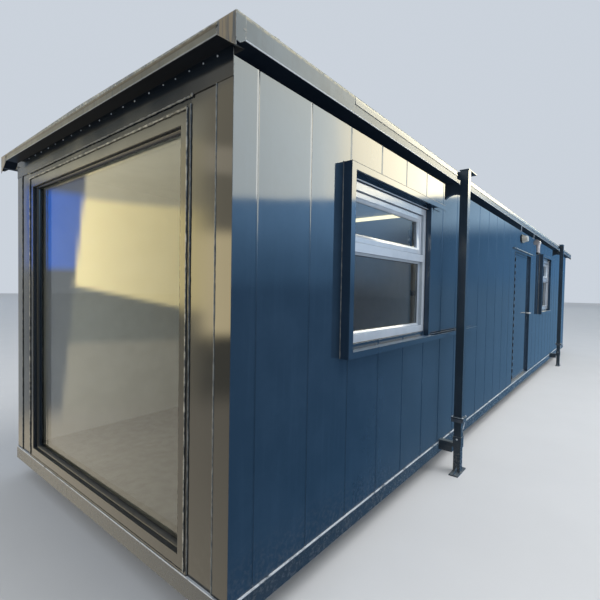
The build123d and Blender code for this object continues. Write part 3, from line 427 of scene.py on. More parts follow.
FINISHES = {
    side_paint: ["front_cladding_near", "front_cladding_far", "front_cladding_over_door", "back_cladding",
                 "far_end_cladding", "far_corner_posts", "door_leaf", "door_frame", "door_hinges"],
    surround_paint: ["window_1_shroud", "window_2_shroud"],
    flashing_highlight_paint: ["door_flashing"],
    end_shaded_paint: ["near_jamb_panels", "picture_window_frame"],
    near_post_paint: ["near_corner_posts"],
    header_shade_paint: ["near_end_header"],
    leg_paint: ["leg_tubes", "leg_upper_brackets", "leg_lower_brackets", "inner_leg_front_near",
                "inner_leg_front_far", "inner_leg_back_near", "inner_leg_back_far"],
    base_rail_paint: ["base_frame"],
    soffit_shade_paint: ["eaves_soffits"],
    long_fascia_paint: ["fascia_front", "fascia_back"],
    end_fascia_lit_paint: ["fascia_near_end", "fascia_far_end"],
    cap_paint: ["roof_corner_caps"],
    roof_coat: ["roof_sheet"],
    lining: ["front_wall_near", "front_wall_over_door", "front_wall_far", "back_wall", "far_end_wall",
             "roof_panel"],
    timber: ["floor_joists", "floor_bearers"],
    floor_vinyl: ["floor_deck"],
    shaded_white_plastic: ["window_1_frame", "window_2_frame"],
    window_glass: ["picture_window_glass"],
    shaded_side_glass: ["window_panes"],
    grey_plastic: ["power_inlet"],
    opal_cover: ["bulkhead_light"],
    handle_finish: ["door_handle"],
}
for material, names in FINISHES.items():
    for name in names:
        nodes[name].data.materials.clear()
        nodes[name].data.materials.append(material)


# Mesh helpers

def bar(mesh, low, high, bevel=0.001):
    """Bar between two corners with chamfered edges."""
    size = Vector(high) - Vector(low)
    centre = (Vector(high) + Vector(low)) / 2
    made = bmesh.ops.create_cube(mesh, size=1.0)["verts"]
    bmesh.ops.scale(mesh, vec=size, verts=made)
    bmesh.ops.translate(mesh, vec=centre, verts=made)
    width = min(bevel, min(size) * 0.45)
    edges = list(dict.fromkeys(e for v in made for e in v.link_edges))
    bmesh.ops.bevel(mesh, geom=edges, offset=width, segments=2, affect="EDGES", profile=0.6)


def frame_along(direction):
    """Two unit vectors square to a direction."""
    direction = Vector(direction).normalized()
    side = direction.cross(PLUS_Z if abs(direction.z) < 0.9 else PLUS_X).normalized()
    return direction, side, direction.cross(side)


def ring_round(mesh, centre, side, up, radius, sides):
    """Points evenly round a centre."""
    return [mesh.verts.new(centre + (side * math.cos(a) + up * math.sin(a)) * radius)
            for a in (2 * math.pi * n / sides for n in range(sides))]


def skin(mesh, rings, ends=True):
    """Faces between rings that follow each other, and over both ends."""
    for first, second in zip(rings, rings[1:]):
        for n in range(len(first)):
            m = (n + 1) % len(first)
            mesh.faces.new([first[n], first[m], second[m], second[n]])
    if ends:
        mesh.faces.new(list(reversed(rings[0])))
        mesh.faces.new(rings[-1])


def lathe(mesh, base, direction, profile, sides=16):
    """Turned form: profile is (distance along the axis, radius) from base in a direction."""
    axis, side, up = frame_along(direction)
    rings = []
    for along, radius in profile:
        centre = Vector(base) + axis * along
        rings.append([mesh.verts.new(centre)] if radius < 1e-6 else
                     ring_round(mesh, centre, side, up, radius, sides))
    for first, second in zip(rings, rings[1:]):
        for n in range(sides):
            loop = [first[n % len(first)], first[(n + 1) % len(first)],
                    second[(n + 1) % len(second)], second[n % len(second)]]
            mesh.faces.new(list(dict.fromkeys(loop)))
    if len(rings[0]) > 1:
        mesh.faces.new(list(reversed(rings[0])))
    if len(rings[-1]) > 1:
        mesh.faces.new(rings[-1])


def rivet(mesh, place, direction, radius=0.006, height=0.003):
    """Domed rivet or screw head on a surface."""
    lathe(mesh, place, direction,
          [(0.0, radius), (height * 0.45, radius * 0.93), (height * 0.85, radius * 0.6),
           (height, radius * 0.2), (height, 0.0)], sides=12)


def bead(mesh, points, radius, lumps=0.0, sides=8, chance=None):
    """Bead of weld or sealant along points, with lumps where asked."""
    rings = []
    points = [Vector(p) for p in points]
    for n, point in enumerate(points):
        ahead = points[min(n + 1, len(points) - 1)] - points[max(n - 1, 0)]
        axis, side, up = frame_along(ahead)
        size = radius * (1.0 + (chance.uniform(-lumps, lumps) if chance else 0.0))
        rings.append(ring_round(mesh, point, side, up, size, sides))
    skin(mesh, rings)


def prism(mesh, outline, start, end, place):
    """Closed outline of (a, b) pairs drawn out from start to end; place maps (a, b, along)."""
    skin(mesh, [[mesh.verts.new(place(a, b, along)) for a, b in outline] for along in (start, end)])


def mitred_frame(mesh, low, high, profile, out):
    """Closed frame round a rectangle: profile is (inset from the outer edge, height along out)."""
    (a0, b0), (a1, b1) = low, high
    corners = ((a0, b0, 1, 1), (a1, b0, -1, 1), (a1, b1, -1, -1), (a0, b1, 1, -1))
    rings = [[mesh.verts.new(out(a + sa * inset, b + sb * inset, height)) for a, b, sa, sb in corners]
             for inset, height in profile]
    skin(mesh, rings + rings[:1], ends=False)


def on_front(y_face):
    """Maps (x, z, height outwards) to a point on a plane that faces -Y."""
    return lambda x, z, height: Vector((x, y_face - height, z))


def on_near_end(x_face):
    """Maps (y, z, height outwards) to a point on a plane that faces -X."""
    return lambda y, z, height: Vector((x_face - height, y, z))


def add_object(name, data):
    made = bpy.data.objects.new(name, data)
    bpy.context.scene.collection.objects.link(made)
    return made


def piece(material, body="cabin", smooth=40.0, name=None):
    """Makes an object from the function below it, which fills its mesh and gives its name."""
    def build(make):
        mesh = bmesh.new()
        make(mesh)
        bmesh.ops.recalc_face_normals(mesh, faces=mesh.faces)
        data = bpy.data.meshes.new(name or make.__name__)
        mesh.to_mesh(data)
        mesh.free()
        data.materials.append(material)
        made = add_object(name or make.__name__, data)
        data.shade_smooth()
        data.set_sharp_from_angle(angle=math.radians(smooth))
        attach(made, body)
        return made
    return build


# Near end: rivets, weld and sealant, gasket and glazing bead of the picture window

RIVET_Z = 2.661
JAMB_Y = 1.0715
RIVET_FIRST, RIVET_PITCH, RIVET_COUNT = -1.264, 0.1385, 19
CLOSE_RIVETS, CLOSE_SHARE = 4, 0.76


@piece(galvanised)
def header_rivets(mesh):
    """Row of rivets along the header, closer together at its front end."""
    chance = random.Random(7)
    for n in range(RIVET_COUNT):
        steps = CLOSE_SHARE * min(n, CLOSE_RIVETS) + max(n - CLOSE_RIVETS, 0)
        y = RIVET_FIRST + RIVET_PITCH * steps + chance.uniform(-0.010, 0.010)
        rivet(mesh, (X_NEAR - 0.003, y, RIVET_Z + chance.uniform(-0.002, 0.002)), -PLUS_X,
              chance.uniform(0.0040, 0.0055), 0.003)


@piece(sealant)
def header_weld(mesh):
    """Bead under the header with a blob at each end, and beads down the joints of jambs and posts."""
    chance = random.Random(4)
    steps = 150
    points = [(X_NEAR - 0.0035 + chance.uniform(-0.0006, 0.0006), JAMB_Y * (2.0 * n / steps - 1.0),
               HEADER_LOW - 0.0030 + chance.uniform(-0.0012, 0.0012)) for n in range(steps + 1)]
    bead(mesh, points, 0.0044, 0.4, 6, chance)
    for side in (-1, 1):
        rivet(mesh, (X_NEAR - 0.003, side * (JAMB_Y + 0.012), HEADER_LOW), -PLUS_X, 0.010, 0.005)
        for y, x, top in ((JAMB_Y + 0.0006, X_NEAR - 0.0004, HEADER_LOW - 0.036),
                          (Y_BACK - CORNER_END, X_NEAR - 0.0003, HEADER_LOW)):
            foot, rise = BASE_LINE + 0.004, top - BASE_LINE - 0.004
            points = [(x + chance.uniform(-0.0004, 0.0004), side * y, foot + rise * n / 90)
                      for n in range(91)]
            bead(mesh, points, 0.0036, 0.25, 6, chance)


RIDGE_X, RIDGE_Y, RIDGE_TOP, RIDGE_FOOT = X_NEAR - 0.0095, 1.0555, 2.492, 0.256


@piece(ridge_highlight_and_sealant)
def ridge_highlight_beads(mesh):
    """Pale broken beads down the sides and along the top of the raised ridge round the picture-window frame:
    painted highlight, partly sealant along the top.
    """
    chance = random.Random(6)
    rise = RIDGE_TOP - RIDGE_FOOT
    for side in (-1, 1):
        bead(mesh, [(RIDGE_X, side * RIDGE_Y, RIDGE_FOOT + rise * n / 90) for n in range(91)],
             0.0032, 0.35, 6, chance)
    bead(mesh, [(RIDGE_X - 0.0008, RIDGE_Y * (n / 50 - 1.0), RIDGE_TOP - 0.001) for n in range(101)],
         0.0048, 0.35, 6, chance)


picture_low, picture_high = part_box("picture_window_glass")
GLASS_EDGE = 0.012
PICTURE_EDGE = ((picture_low.y + GLASS_EDGE, picture_low.z + GLASS_EDGE),
                (picture_high.y - GLASS_EDGE, picture_high.z - GLASS_EDGE))


@piece(rubber)
def picture_gasket(mesh):
    """Black gasket on the outer face of the pane, round the opening."""
    mitred_frame(mesh, *PICTURE_EDGE,
                 [(0.0005, 0.0), (0.0005, 0.010), (0.006, 0.009), (0.010, 0.004), (0.010, 0.0)],
                 on_near_end(picture_low.x - 0.0002))


@piece(end_shaded_paint)
def picture_bead(mesh):
    """Stepped glazing bead in front of the gasket."""
    mitred_frame(mesh, *PICTURE_EDGE,
                 [(0.0003, 0.012), (0.0003, 0.032), (0.004, 0.032), (0.010, 0.026), (0.014, 0.020),
                  (0.016, 0.012)],
                 on_near_end(picture_low.x))


# Places of the black strips of painted shade in the reveal.
SHADE_STRIP_Y, SHADE_STRIP_END, SHADE_STRIP_FOOT, SHADE_STRIP_HEAD = 0.9978, 1.0, 0.3205, 2.4195


@piece(rubber)
def opening_shade_strips(mesh):
    """Black strips under the head of the opening and down its two sides: painted shade in the reveal."""
    x0, x1 = X_NEAR - 0.002, picture_low.x - 0.034
    bar(mesh, (x0, -SHADE_STRIP_END, SHADE_STRIP_HEAD), (x1, SHADE_STRIP_END, SHADE_STRIP_HEAD + 0.0033), 0.0008)
    for side in (-1, 1):
        y = side * SHADE_STRIP_Y
        bar(mesh, (x0, y - 0.0016, SHADE_STRIP_FOOT), (x1, y + 0.0016, SHADE_STRIP_HEAD - 0.0005), 0.0008)


# Windows: glazing beads, black gaskets, a raised fanlight sash and its catch

WINDOW_HALF = 0.625
WINDOW_CENTRES = (X_NEAR + 1.531, X_NEAR + 8.546)
WINDOW_LOW, WINDOW_HIGH = BASE_LINE + 1.065, BASE_LINE + 2.090
FRAME_FACE = Y_FRONT + 0.008
SASH_FACE = Y_FRONT + 0.040
PANE_FACE = Y_FRONT + 0.048
LOWER_GLASS = (WINDOW_LOW + 0.056, WINDOW_LOW + 0.582)
SASH_SPAN = (WINDOW_LOW + 0.640, WINDOW_HIGH - 0.056)
FAN_GLASS = (SASH_SPAN[0] + 0.056, SASH_SPAN[1] - 0.056)
LOWER_HALF = WINDOW_HALF - 0.056
FAN_HALF = LOWER_HALF - 0.056


def window_ring(mesh, half, span, inset, profile, face):
    """Frame round an opening of both windows, given by half its width and its lower and upper edge."""
    for centre in WINDOW_CENTRES:
        mitred_frame(mesh, (centre - half + inset, span[0] + inset), (centre + half - inset, span[1] - inset),
                     profile, on_front(face))


@piece(shaded_white_plastic)
def window_beads(mesh):
    """White glazing beads round the lower panes."""
    window_ring(mesh, LOWER_HALF, LOWER_GLASS, 0.0,
                [(0.0, 0.003), (0.0, 0.0145), (0.004, 0.0150), (0.016, 0.0060), (0.016, 0.003)], PANE_FACE)


@piece(shaded_white_plastic)
def fan_sashes(mesh):
    """Raised frame of each fanlight, with a rim that reaches in to the pane."""
    window_ring(mesh, LOWER_HALF, SASH_SPAN, 0.004,
                [(0.0, 0.0002), (0.0, 0.0130), (0.003, 0.0160), (0.034, 0.0160), (0.039, 0.0110),
                 (0.049, 0.0080), (0.058, -0.0050), (0.058, -0.0075), (0.0525, -0.0075), (0.0525, 0.0002)],
                SASH_FACE)


@piece(rubber)
def window_gaskets(mesh):
    """Black lines round both panes, round the fanlight sash and round the whole frame."""
    pane_lip = [(0.0, 0.0002), (0.0, 0.0045), (0.003, 0.0038), (0.0045, 0.0002)]
    window_ring(mesh, LOWER_HALF, LOWER_GLASS, 0.016, pane_lip, PANE_FACE)
    window_ring(mesh, FAN_HALF, FAN_GLASS, 0.0015, pane_lip, PANE_FACE)
    window_ring(mesh, LOWER_HALF, SASH_SPAN, 0.0002,
                [(0.0, 0.0001), (0.0, 0.0060), (0.0038, 0.0060), (0.0038, 0.0001)], SASH_FACE)
    window_ring(mesh, WINDOW_HALF, (WINDOW_LOW, WINDOW_HIGH), 0.0,
                [(0.0, 0.0001), (0.0, 0.0028), (0.004, 0.0022), (0.0055, 0.0001)], FRAME_FACE)


CHEEK_OUT, RAIL_TOP, RAIL_FACE = 0.673, 2.402, Y_FRONT - 0.062
RAIL_ENDS = (-3.678, 3.401)
SEALANT_FOOT = 1.232


@piece(sealant)
def surround_seals(mesh):
    """Bead of sealant where each near cheek meets the wall, and along the back of the top rail."""
    chance = random.Random(12)
    for centre, end in zip(WINDOW_CENTRES, RAIL_ENDS):
        x = centre - CHEEK_OUT
        bead(mesh, [(x - 0.001, Y_FRONT - 0.001, SEALANT_FOOT + 1.168 * n / 60) for n in range(61)],
             0.0032, 0.3, 6, chance)
        bead(mesh, [(x + (end - x) * n / 80, Y_FRONT - 0.001, RAIL_TOP + 0.001) for n in range(81)],
             0.003, 0.3, 6, chance)


@piece(seam_shadow)
def rail_edge_shadows(mesh):
    """Dark line along the top edge of the top rail of each surround: painted shadow."""
    for centre, end in zip(WINDOW_CENTRES, RAIL_ENDS):
        bar(mesh, (centre - CHEEK_OUT, RAIL_FACE - 0.0006, RAIL_TOP - 0.0032),
            (end - 0.020, RAIL_FACE + 0.002, RAIL_TOP + 0.0002), 0.0005)


WINDOW_HEAD = 0.006


@piece(shaded_white_plastic)
def window_heads(mesh):
    """Narrow white trim over each frame."""
    for centre in WINDOW_CENTRES:
        bar(mesh, (centre - WINDOW_HALF, Y_FRONT - 0.009, WINDOW_HIGH),
            (centre + WINDOW_HALF, Y_FRONT - 0.001, WINDOW_HIGH + WINDOW_HEAD), 0.001)


STAY_X, STAY_Z = 0.465, (2.008, 2.179)
CATCH_X, CATCH_Z = (0.498, 0.562), (1.606, 1.648)
INNER_Y = Y_FRONT + 0.084


@piece(dark_plastic)
def window_stays(mesh):
    """Fanlight handles and sash catches behind the glass."""
    for centre in WINDOW_CENTRES:
        x = centre + STAY_X
        bar(mesh, (x - 0.010, INNER_Y - 0.006, STAY_Z[0]), (x + 0.010, INNER_Y, STAY_Z[1]), 0.002)
        bar(mesh, (x - 0.006, INNER_Y, STAY_Z[0] + 0.03),
            (x + 0.006, INNER_Y + 0.022, STAY_Z[1] - 0.03), 0.003)
        bar(mesh, (centre + CATCH_X[0], INNER_Y - 0.006, CATCH_Z[0]),
            (centre + CATCH_X[1], INNER_Y + 0.010, CATCH_Z[1]), 0.004)


@piece(bright_steel)
def stay_knobs(mesh):
    """Bright knob and pin on each fanlight handle."""
    for centre in WINDOW_CENTRES:
        lathe(mesh, (centre + STAY_X - 0.031, INNER_Y - 0.008, 2.064), PLUS_Y,
              [(0.0, 0.0), (0.0, 0.010), (0.004, 0.013), (0.016, 0.013), (0.020, 0.008), (0.020, 0.0)])
        bar(mesh, (centre + STAY_X - 0.050, INNER_Y, 2.059), (centre + STAY_X, INNER_Y + 0.006, 2.069), 0.001)


BATTEN_START, BATTEN_PITCH, BATTEN_HALF = -2.40, 3.66, 0.035


@piece(lit_cream)
def ceiling_battens(mesh):
    """Three lit strips across the ceiling."""
    for n in range(3):
        x = BATTEN_START + BATTEN_PITCH * n
        bar(mesh, (x - BATTEN_HALF, Y_FRONT + 0.16, WALL_TOP - 0.035),
            (x + BATTEN_HALF, Y_BACK - 0.16, WALL_TOP - 0.0005), 0.008)


# Panel seams: a thin dark line at the bottom of each groove, painted shade, and a turned lip on the sheet
# beside it

SEAM_HALF, SEAM_DEPTH, SEAM_THICK = 0.0036, 0.0014, 0.0006
LIP_WIDTH, LIP_RISE = 0.008, 0.0018
GROOVE_HALF = 0.0045


def seam_spans():
    """Each wall joint: its x, whether it is grooved, and its lengths on the front wall."""
    door_low, door_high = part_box("door_frame")
    for n, x in enumerate(JOINT_XS):
        spans = [(BASE_LINE + 0.001, WALL_TOP - 0.001)]
        for centre in WINDOW_CENTRES:
            if abs(x - centre) < WINDOW_HALF + 0.001:
                spans = [(BASE_LINE + 0.001, WINDOW_LOW), (WINDOW_HIGH, WALL_TOP - 0.001)]
        if door_low.x < x < door_high.x:
            spans = [(door_high.z, WALL_TOP - 0.001)]
        yield x, 0 < n < PANELS, spans


@piece(groove_shade_paint)
def panel_seams(mesh):
    """Darker strip at the bottom of each joint, on the front and on the back wall: painted shade in the
    groove.
    """
    for x, grooved, spans in seam_spans():
        depth = SEAM_DEPTH if grooved else 0.0
        for z0, z1 in spans:
            bar(mesh, (x - SEAM_HALF, Y_FRONT + depth - SEAM_THICK, z0),
                (x + SEAM_HALF, Y_FRONT + depth + SEAM_THICK, z1), 0.0003)
        bar(mesh, (x - SEAM_HALF, Y_BACK - depth - SEAM_THICK, BASE_LINE + 0.001),
            (x + SEAM_HALF, Y_BACK - depth + SEAM_THICK, WALL_TOP - 0.001), 0.0003)


@piece(lip_paint, smooth=10.0)
def panel_lips(mesh):
    """Turned edge of each sheet, just before its joint."""
    outline = [(-LIP_WIDTH - GROOVE_HALF, 0.0), (-GROOVE_HALF - 0.001, LIP_RISE),
               (-GROOVE_HALF, LIP_RISE * 0.6), (-GROOVE_HALF, -0.0004), (-LIP_WIDTH - GROOVE_HALF, -0.0004)]
    for x, grooved, spans in seam_spans():
        if x > X_FAR - CORNER_LONG - 0.001:
            continue
        for z0, z1 in spans:
            prism(mesh, outline, z0, z1, lambda a, b, z: Vector((x + a, Y_FRONT - b, z)))
        prism(mesh, outline, BASE_LINE + 0.001, WALL_TOP - 0.001,
              lambda a, b, z: Vector((x + a, Y_BACK + b, z)))


@piece(seam_shadow)
def near_end_seams(mesh):
    """Joints of the near end: posts, jamb panels and header."""
    for y in (Y_FRONT + CORNER_END, Y_BACK - CORNER_END):
        bar(mesh, (X_NEAR - 0.0008, y - 0.0012, BASE_LINE), (X_NEAR + 0.004, y + 0.0012, HEADER_LOW), 0.0004)
    for y in (Y_FRONT + 0.300, Y_BACK - 0.300):
        side = 1 if y < 0 else -1
        bar(mesh, (X_NEAR - 0.0006, y - 0.0012 - side * 0.001, BASE_LINE),
            (X_NEAR + 0.004, y + 0.0012 - side * 0.001, HEADER_LOW - 0.037), 0.0004)


# Eaves: two pale clips that hang under the front fascia

CLIP_XS = (X_NEAR + 5.49, X_NEAR + 6.52)


@piece(shaded_white_plastic)
def eave_clips(mesh):
    y = Y_FRONT - EAVE_Y
    for x in CLIP_XS:
        bar(mesh, (x - 0.012, y + 0.0035, WALL_TOP - 0.078), (x + 0.012, y + 0.0065, WALL_TOP + 0.020), 0.001)
        bar(mesh, (x - 0.012, y + 0.0035, WALL_TOP - 0.084), (x + 0.012, y + 0.024, WALL_TOP - 0.078), 0.001)
        bar(mesh, (x - 0.012, y + 0.021, WALL_TOP - 0.084), (x + 0.012, y + 0.024, WALL_TOP - 0.060), 0.001)


# Roof edge: a tilted strip along the upper half of each long fascia, fixings, laps and corner cap cuts

STRIP_START, STRIP_LOW, STRIP_TOP = -5.30, 2.681, 2.7245


@piece(edge_strip_paint, smooth=10.0)
def edge_strips(mesh):
    """Strip that leans out from the upper half of each long fascia."""
    face = Y_BACK + EAVE_Y
    outline = [(face - 0.0004, STRIP_LOW), (face + 0.0050, STRIP_LOW + 0.0012), (face + 0.0003, STRIP_TOP),
               (face - 0.0004, STRIP_TOP)]
    for side in (-1, 1):
        prism(mesh, outline, STRIP_START, X_FAR, lambda a, b, x: Vector((x, side * a, b)))


CREST_Z, ROOF_FALL, ROOF_HALF = 2.751, 0.018, 1.4765
FIXING_Y = 1.462


def roof_height(y):
    """Top of the cambered roof sheet."""
    return CREST_Z - ROOF_FALL * abs(y) / ROOF_HALF


@piece(galvanised)
def roof_fixings(mesh):
    for x in JOINT_XS:
        for side in (-1, 1):
            rivet(mesh, (x, side * FIXING_Y, roof_height(FIXING_Y) - 0.0005), PLUS_Z, 0.009, 0.009)


LAP_HALF, LAP_HEIGHT, LAP_PANELS = 0.020, 0.0035, 3


@piece(roof_coat)
def roof_laps(mesh):
    """Flat strips across the sheet at every third joint, run out at the crest."""
    for x in JOINT_XS[::LAP_PANELS]:
        for side in (-1, 1):
            ends = []
            for y, lift in ((1.4760, LAP_HEIGHT), (0.40, LAP_HEIGHT), (0.02, 0.0001)):
                z = roof_height(y)
                ends.append([mesh.verts.new((x + a, side * y, z + b)) for a, b in (
                    (-LAP_HALF, -0.0005), (-LAP_HALF + 0.004, lift),
                    (LAP_HALF - 0.004, lift), (LAP_HALF, -0.0005))])
            skin(mesh, ends, ends=False)
            mesh.faces.new(ends[0])
            mesh.faces.new(list(reversed(ends[-1])))


CAP_SEAM_X, CAP_SEAM_Y, CAP_NOTCH_Z = 6.134, 1.3625, 2.667


@piece(seam_shadow)
def cap_cuts(mesh):
    """Joint and small notch where each corner cap laps the fascias."""
    long_face, end_face = Y_BACK + EAVE_Y, X_FAR + EAVE_X
    for way in (-1, 1):
        for side in (-1, 1):
            x, y = way * CAP_SEAM_X, side * CAP_SEAM_Y
            on_long = [(-0.0015, WALL_TOP), (0.0015, WALL_TOP), (0.0015, CAP_NOTCH_Z), (-0.0015, CAP_NOTCH_Z)]
            notch = [(-0.004, CAP_NOTCH_Z - 0.006), (-0.004, CAP_NOTCH_Z + 0.010),
                     (0.016, CAP_NOTCH_Z + 0.004)]
            for outline, proud in ((on_long, 0.0006), (notch, 0.0030)):
                prism(mesh, [(x + way * a, z) for a, z in outline], long_face - 0.001, long_face + proud,
                      lambda a, b, out: Vector((a, side * out, b)))
            low, high = HEADER_TOP, ROOF_Z - 0.022
            on_end = [(y - 0.0012, low), (y + 0.0012, low), (y + 0.0012, high), (y - 0.0012, high)]
            notch = [(y - side * 0.003, ROOF_Z - 0.027), (y - side * 0.003, ROOF_Z - 0.010),
                     (y + side * 0.016, ROOF_Z - 0.018)]
            for outline, proud in ((on_end, 0.0006), (notch, 0.0025)):
                prism(mesh, outline, end_face - 0.001, end_face + proud,
                      lambda a, b, out: Vector((way * out, a, b)))


# Beside the door: a near-black strip of painted shade down the near jamb, hinge pins, rim of the light, caps
# and screws of the inlet

JAMB_X, JAMB_PITCH, JAMB_LENGTH, JAMB_DASHES = -0.458, 0.100, 0.055, 19
JAMB_LOW, JAMB_HIGH, DASH_LOW = 0.262, 2.270, 0.320


@piece(dark_plastic)
def hinge_side_shade_strip(mesh):
    """Strip along the hinge side of the doorway with a row of short blocks, near-black: painted shade of the
    gap and its shadow.
    """
    bar(mesh, (JAMB_X - 0.002, Y_FRONT - 0.004, JAMB_LOW),
        (JAMB_X + 0.002, Y_FRONT + 0.001, JAMB_HIGH), 0.0008)
    for n in range(JAMB_DASHES):
        z = DASH_LOW + JAMB_PITCH * n
        bar(mesh, (JAMB_X - 0.004, Y_FRONT - 0.016, z),
            (JAMB_X + 0.004, Y_FRONT + 0.001, z + JAMB_LENGTH), 0.002)


hinge_low, hinge_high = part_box("door_hinges")
HINGE_X, HINGE_Y, HINGE_PIN, HINGE_LENGTH = -0.413, -1.3495, 0.0055, 0.110


@piece(galvanised)
def hinge_pins(mesh):
    """Heads of the pins, over and under each hinge."""
    span = hinge_high.z - hinge_low.z - HINGE_LENGTH
    for n in range(3):
        low = hinge_low.z + span * n / 2
        for z, way in ((low, -PLUS_Z), (low + HINGE_LENGTH, PLUS_Z)):
            lathe(mesh, Vector((HINGE_X, HINGE_Y, z)) - way * 0.0005, way,
                  [(0.0, HINGE_PIN), (0.004, HINGE_PIN), (0.006, 0.003), (0.0065, 0.0)], 12)


light_low, light_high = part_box("bulkhead_light")


@piece(dark_plastic)
def light_rim(mesh):
    """Dark gasket between base and cover of the light."""
    x0, x1 = light_low.x + 0.004, light_high.x - 0.004
    z0, z1 = light_low.z + 0.004, light_high.z - 0.004
    radius = (z1 - z0) / 2
    points = []
    for centre, start in ((x1 - radius, -90.0), (x0 + radius, 90.0)):
        for k in range(13):
            a = math.radians(start + 15.0 * k)
            points.append((centre + math.cos(a) * radius, Y_FRONT - 0.022,
                           (z0 + z1) / 2 + math.sin(a) * radius))
    bead(mesh, points + points[:1], 0.004)


inlet_low, inlet_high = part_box("power_inlet")
SOCKET_PITCH, SOCKET_Y = 0.084, Y_FRONT - 0.066


@piece(dark_plastic)
def inlet_caps(mesh):
    """Cap with a thumb lug under each socket."""
    middle = (inlet_low.x + inlet_high.x) / 2
    for x in (middle - SOCKET_PITCH / 2, middle + SOCKET_PITCH / 2):
        lathe(mesh, (x, SOCKET_Y, inlet_low.z + 0.0005), PLUS_Z,
              [(0.0, 0.0), (0.0, 0.024), (0.004, 0.027), (0.024, 0.028), (0.030, 0.024), (0.030, 0.019)], 20)
        bar(mesh, (x - 0.012, SOCKET_Y - 0.034, inlet_low.z + 0.004),
            (x + 0.012, SOCKET_Y - 0.020, inlet_low.z + 0.022), 0.003)


@piece(galvanised)
def inlet_screws(mesh):
    for way in (-1, 1):
        edge = inlet_low.x if way < 0 else inlet_high.x
        for n in range(4):
            a = math.radians(45 + 90 * n)
            rivet(mesh, (edge - way * 0.0004, Y_FRONT - 0.050 + 0.036 * math.cos(a),
                         inlet_high.z - 0.050 + 0.036 * math.sin(a)), PLUS_X * way, 0.004, 0.002)


# Legs: locking pins, welds, a guide collar and a pull handle below each flange, and bolts

LEG_XS = (X_NEAR + 2.576, X_FAR - 2.576)
LEG_YS = (Y_FRONT - 0.176, Y_BACK + 0.176)
LEGS = [(x, y, -1 if y < 0 else 1) for x in LEG_XS for y in LEG_YS]
PIN_Z = BASE_LINE + 0.070


@piece(galvanised)
def leg_pins(mesh):
    """Locking pin through each sleeve, with a small lug."""
    for x, y, out in LEGS:
        lathe(mesh, (x - 0.046, y, PIN_Z), PLUS_X,
              [(0.0, 0.0), (0.0, 0.007), (0.003, 0.008), (0.007, 0.008), (0.010, 0.006), (0.086, 0.006),
               (0.098, 0.005), (0.098, 0.0)])
        lathe(mesh, (x + 0.040, y, PIN_Z), PLUS_Y * out,
              [(0.0, 0.0), (0.0, 0.003), (0.026, 0.003), (0.026, 0.0)], 8)


FLANGE_Z, TUBE_HALF, BOLT_OFFSET = 0.500, 0.035, 0.046
SLEEVE_LOW, SLEEVE_HIGH, SLEEVE_HALF = BASE_LINE - 0.008, BASE_LINE + 0.092, 0.0355


def square_path(x, y, half, z):
    """Points round a square, closed, for a bead of weld."""
    steps = 8
    corners = [(-1, -1), (1, -1), (1, 1), (-1, 1), (-1, -1)]
    points = []
    for (a0, b0), (a1, b1) in zip(corners, corners[1:]):
        points += [(x + half * (a0 + (a1 - a0) * k / steps), y + half * (b0 + (b1 - b0) * k / steps), z)
                   for k in range(steps)]
    return points + points[:1]


@piece(leg_paint)
def leg_welds(mesh):
    """Beads over each flange, down the sides of each sleeve and round its top."""
    chance = random.Random(9)
    for x, y, out in LEGS:
        bead(mesh, square_path(x, y, TUBE_HALF + 0.001, FLANGE_Z + 0.0115), 0.003, 0.3, 6, chance)
        for side in (-1, 1):
            bead(mesh, [(x + side * 0.0285, y - out * SLEEVE_HALF, SLEEVE_LOW + 0.010 + 0.030 * k)
                        for k in range(4)], 0.003, 0.3, 6, chance)
        bead(mesh, square_path(x, y, SLEEVE_HALF, SLEEVE_HIGH - 0.002), 0.002, 0.3, 6, chance)


@piece(galvanised)
def leg_bolts(mesh):
    """Bolts through each flange and a bent pull handle that hangs under it."""
    for x, y, out in LEGS:
        for a in (-BOLT_OFFSET, BOLT_OFFSET):
            for b in (-BOLT_OFFSET, BOLT_OFFSET):
                lathe(mesh, (x + a, y + b, FLANGE_Z + 0.0095), PLUS_Z,
                      [(0.0, 0.0085), (0.006, 0.0085), (0.0075, 0.006), (0.0075, 0.0)], 6)
        bead(mesh, [(x + a, y + out * 0.041, FLANGE_Z - b) for a, b in (
            (0.045, 0.030), (0.034, 0.052), (0.006, 0.078), (-0.008, 0.094), (-0.016, 0.118))], 0.0045)


COLLAR_HALF, COLLAR_CLEAR, COLLAR_DEPTH = 0.052, 0.0364, 0.032
COLLAR_MIDDLE, COLLAR_WALL = 0.0442, 0.0078


@piece(collar_paint)
def leg_collars(mesh):
    """Guide collar under each flange, open in the middle for the inner leg."""
    low, high = FLANGE_Z - COLLAR_DEPTH, FLANGE_Z + 0.0005
    for x, y, out in LEGS:
        for side in (-1, 1):
            a, b = x + side * COLLAR_MIDDLE, y + side * COLLAR_MIDDLE
            bar(mesh, (x - COLLAR_HALF, b - COLLAR_WALL, low), (x + COLLAR_HALF, b + COLLAR_WALL, high))
            bar(mesh, (a - COLLAR_WALL, y - COLLAR_CLEAR, low), (a + COLLAR_WALL, y + COLLAR_CLEAR, high))


for x, y, out in LEGS:
    leg = f"{'front' if y < 0 else 'back'}_{'near' if x < 0 else 'far'}"
    piece(leg_paint, body=f"{leg}_leg", name=f"foot_weld_{leg}")(
        lambda mesh: bead(mesh, square_path(x, y, 0.0318, 0.0115), 0.003, 0.3, 6, random.Random(3)))


# Stage: pale floor, soft lamps, and a dome that only reflections see

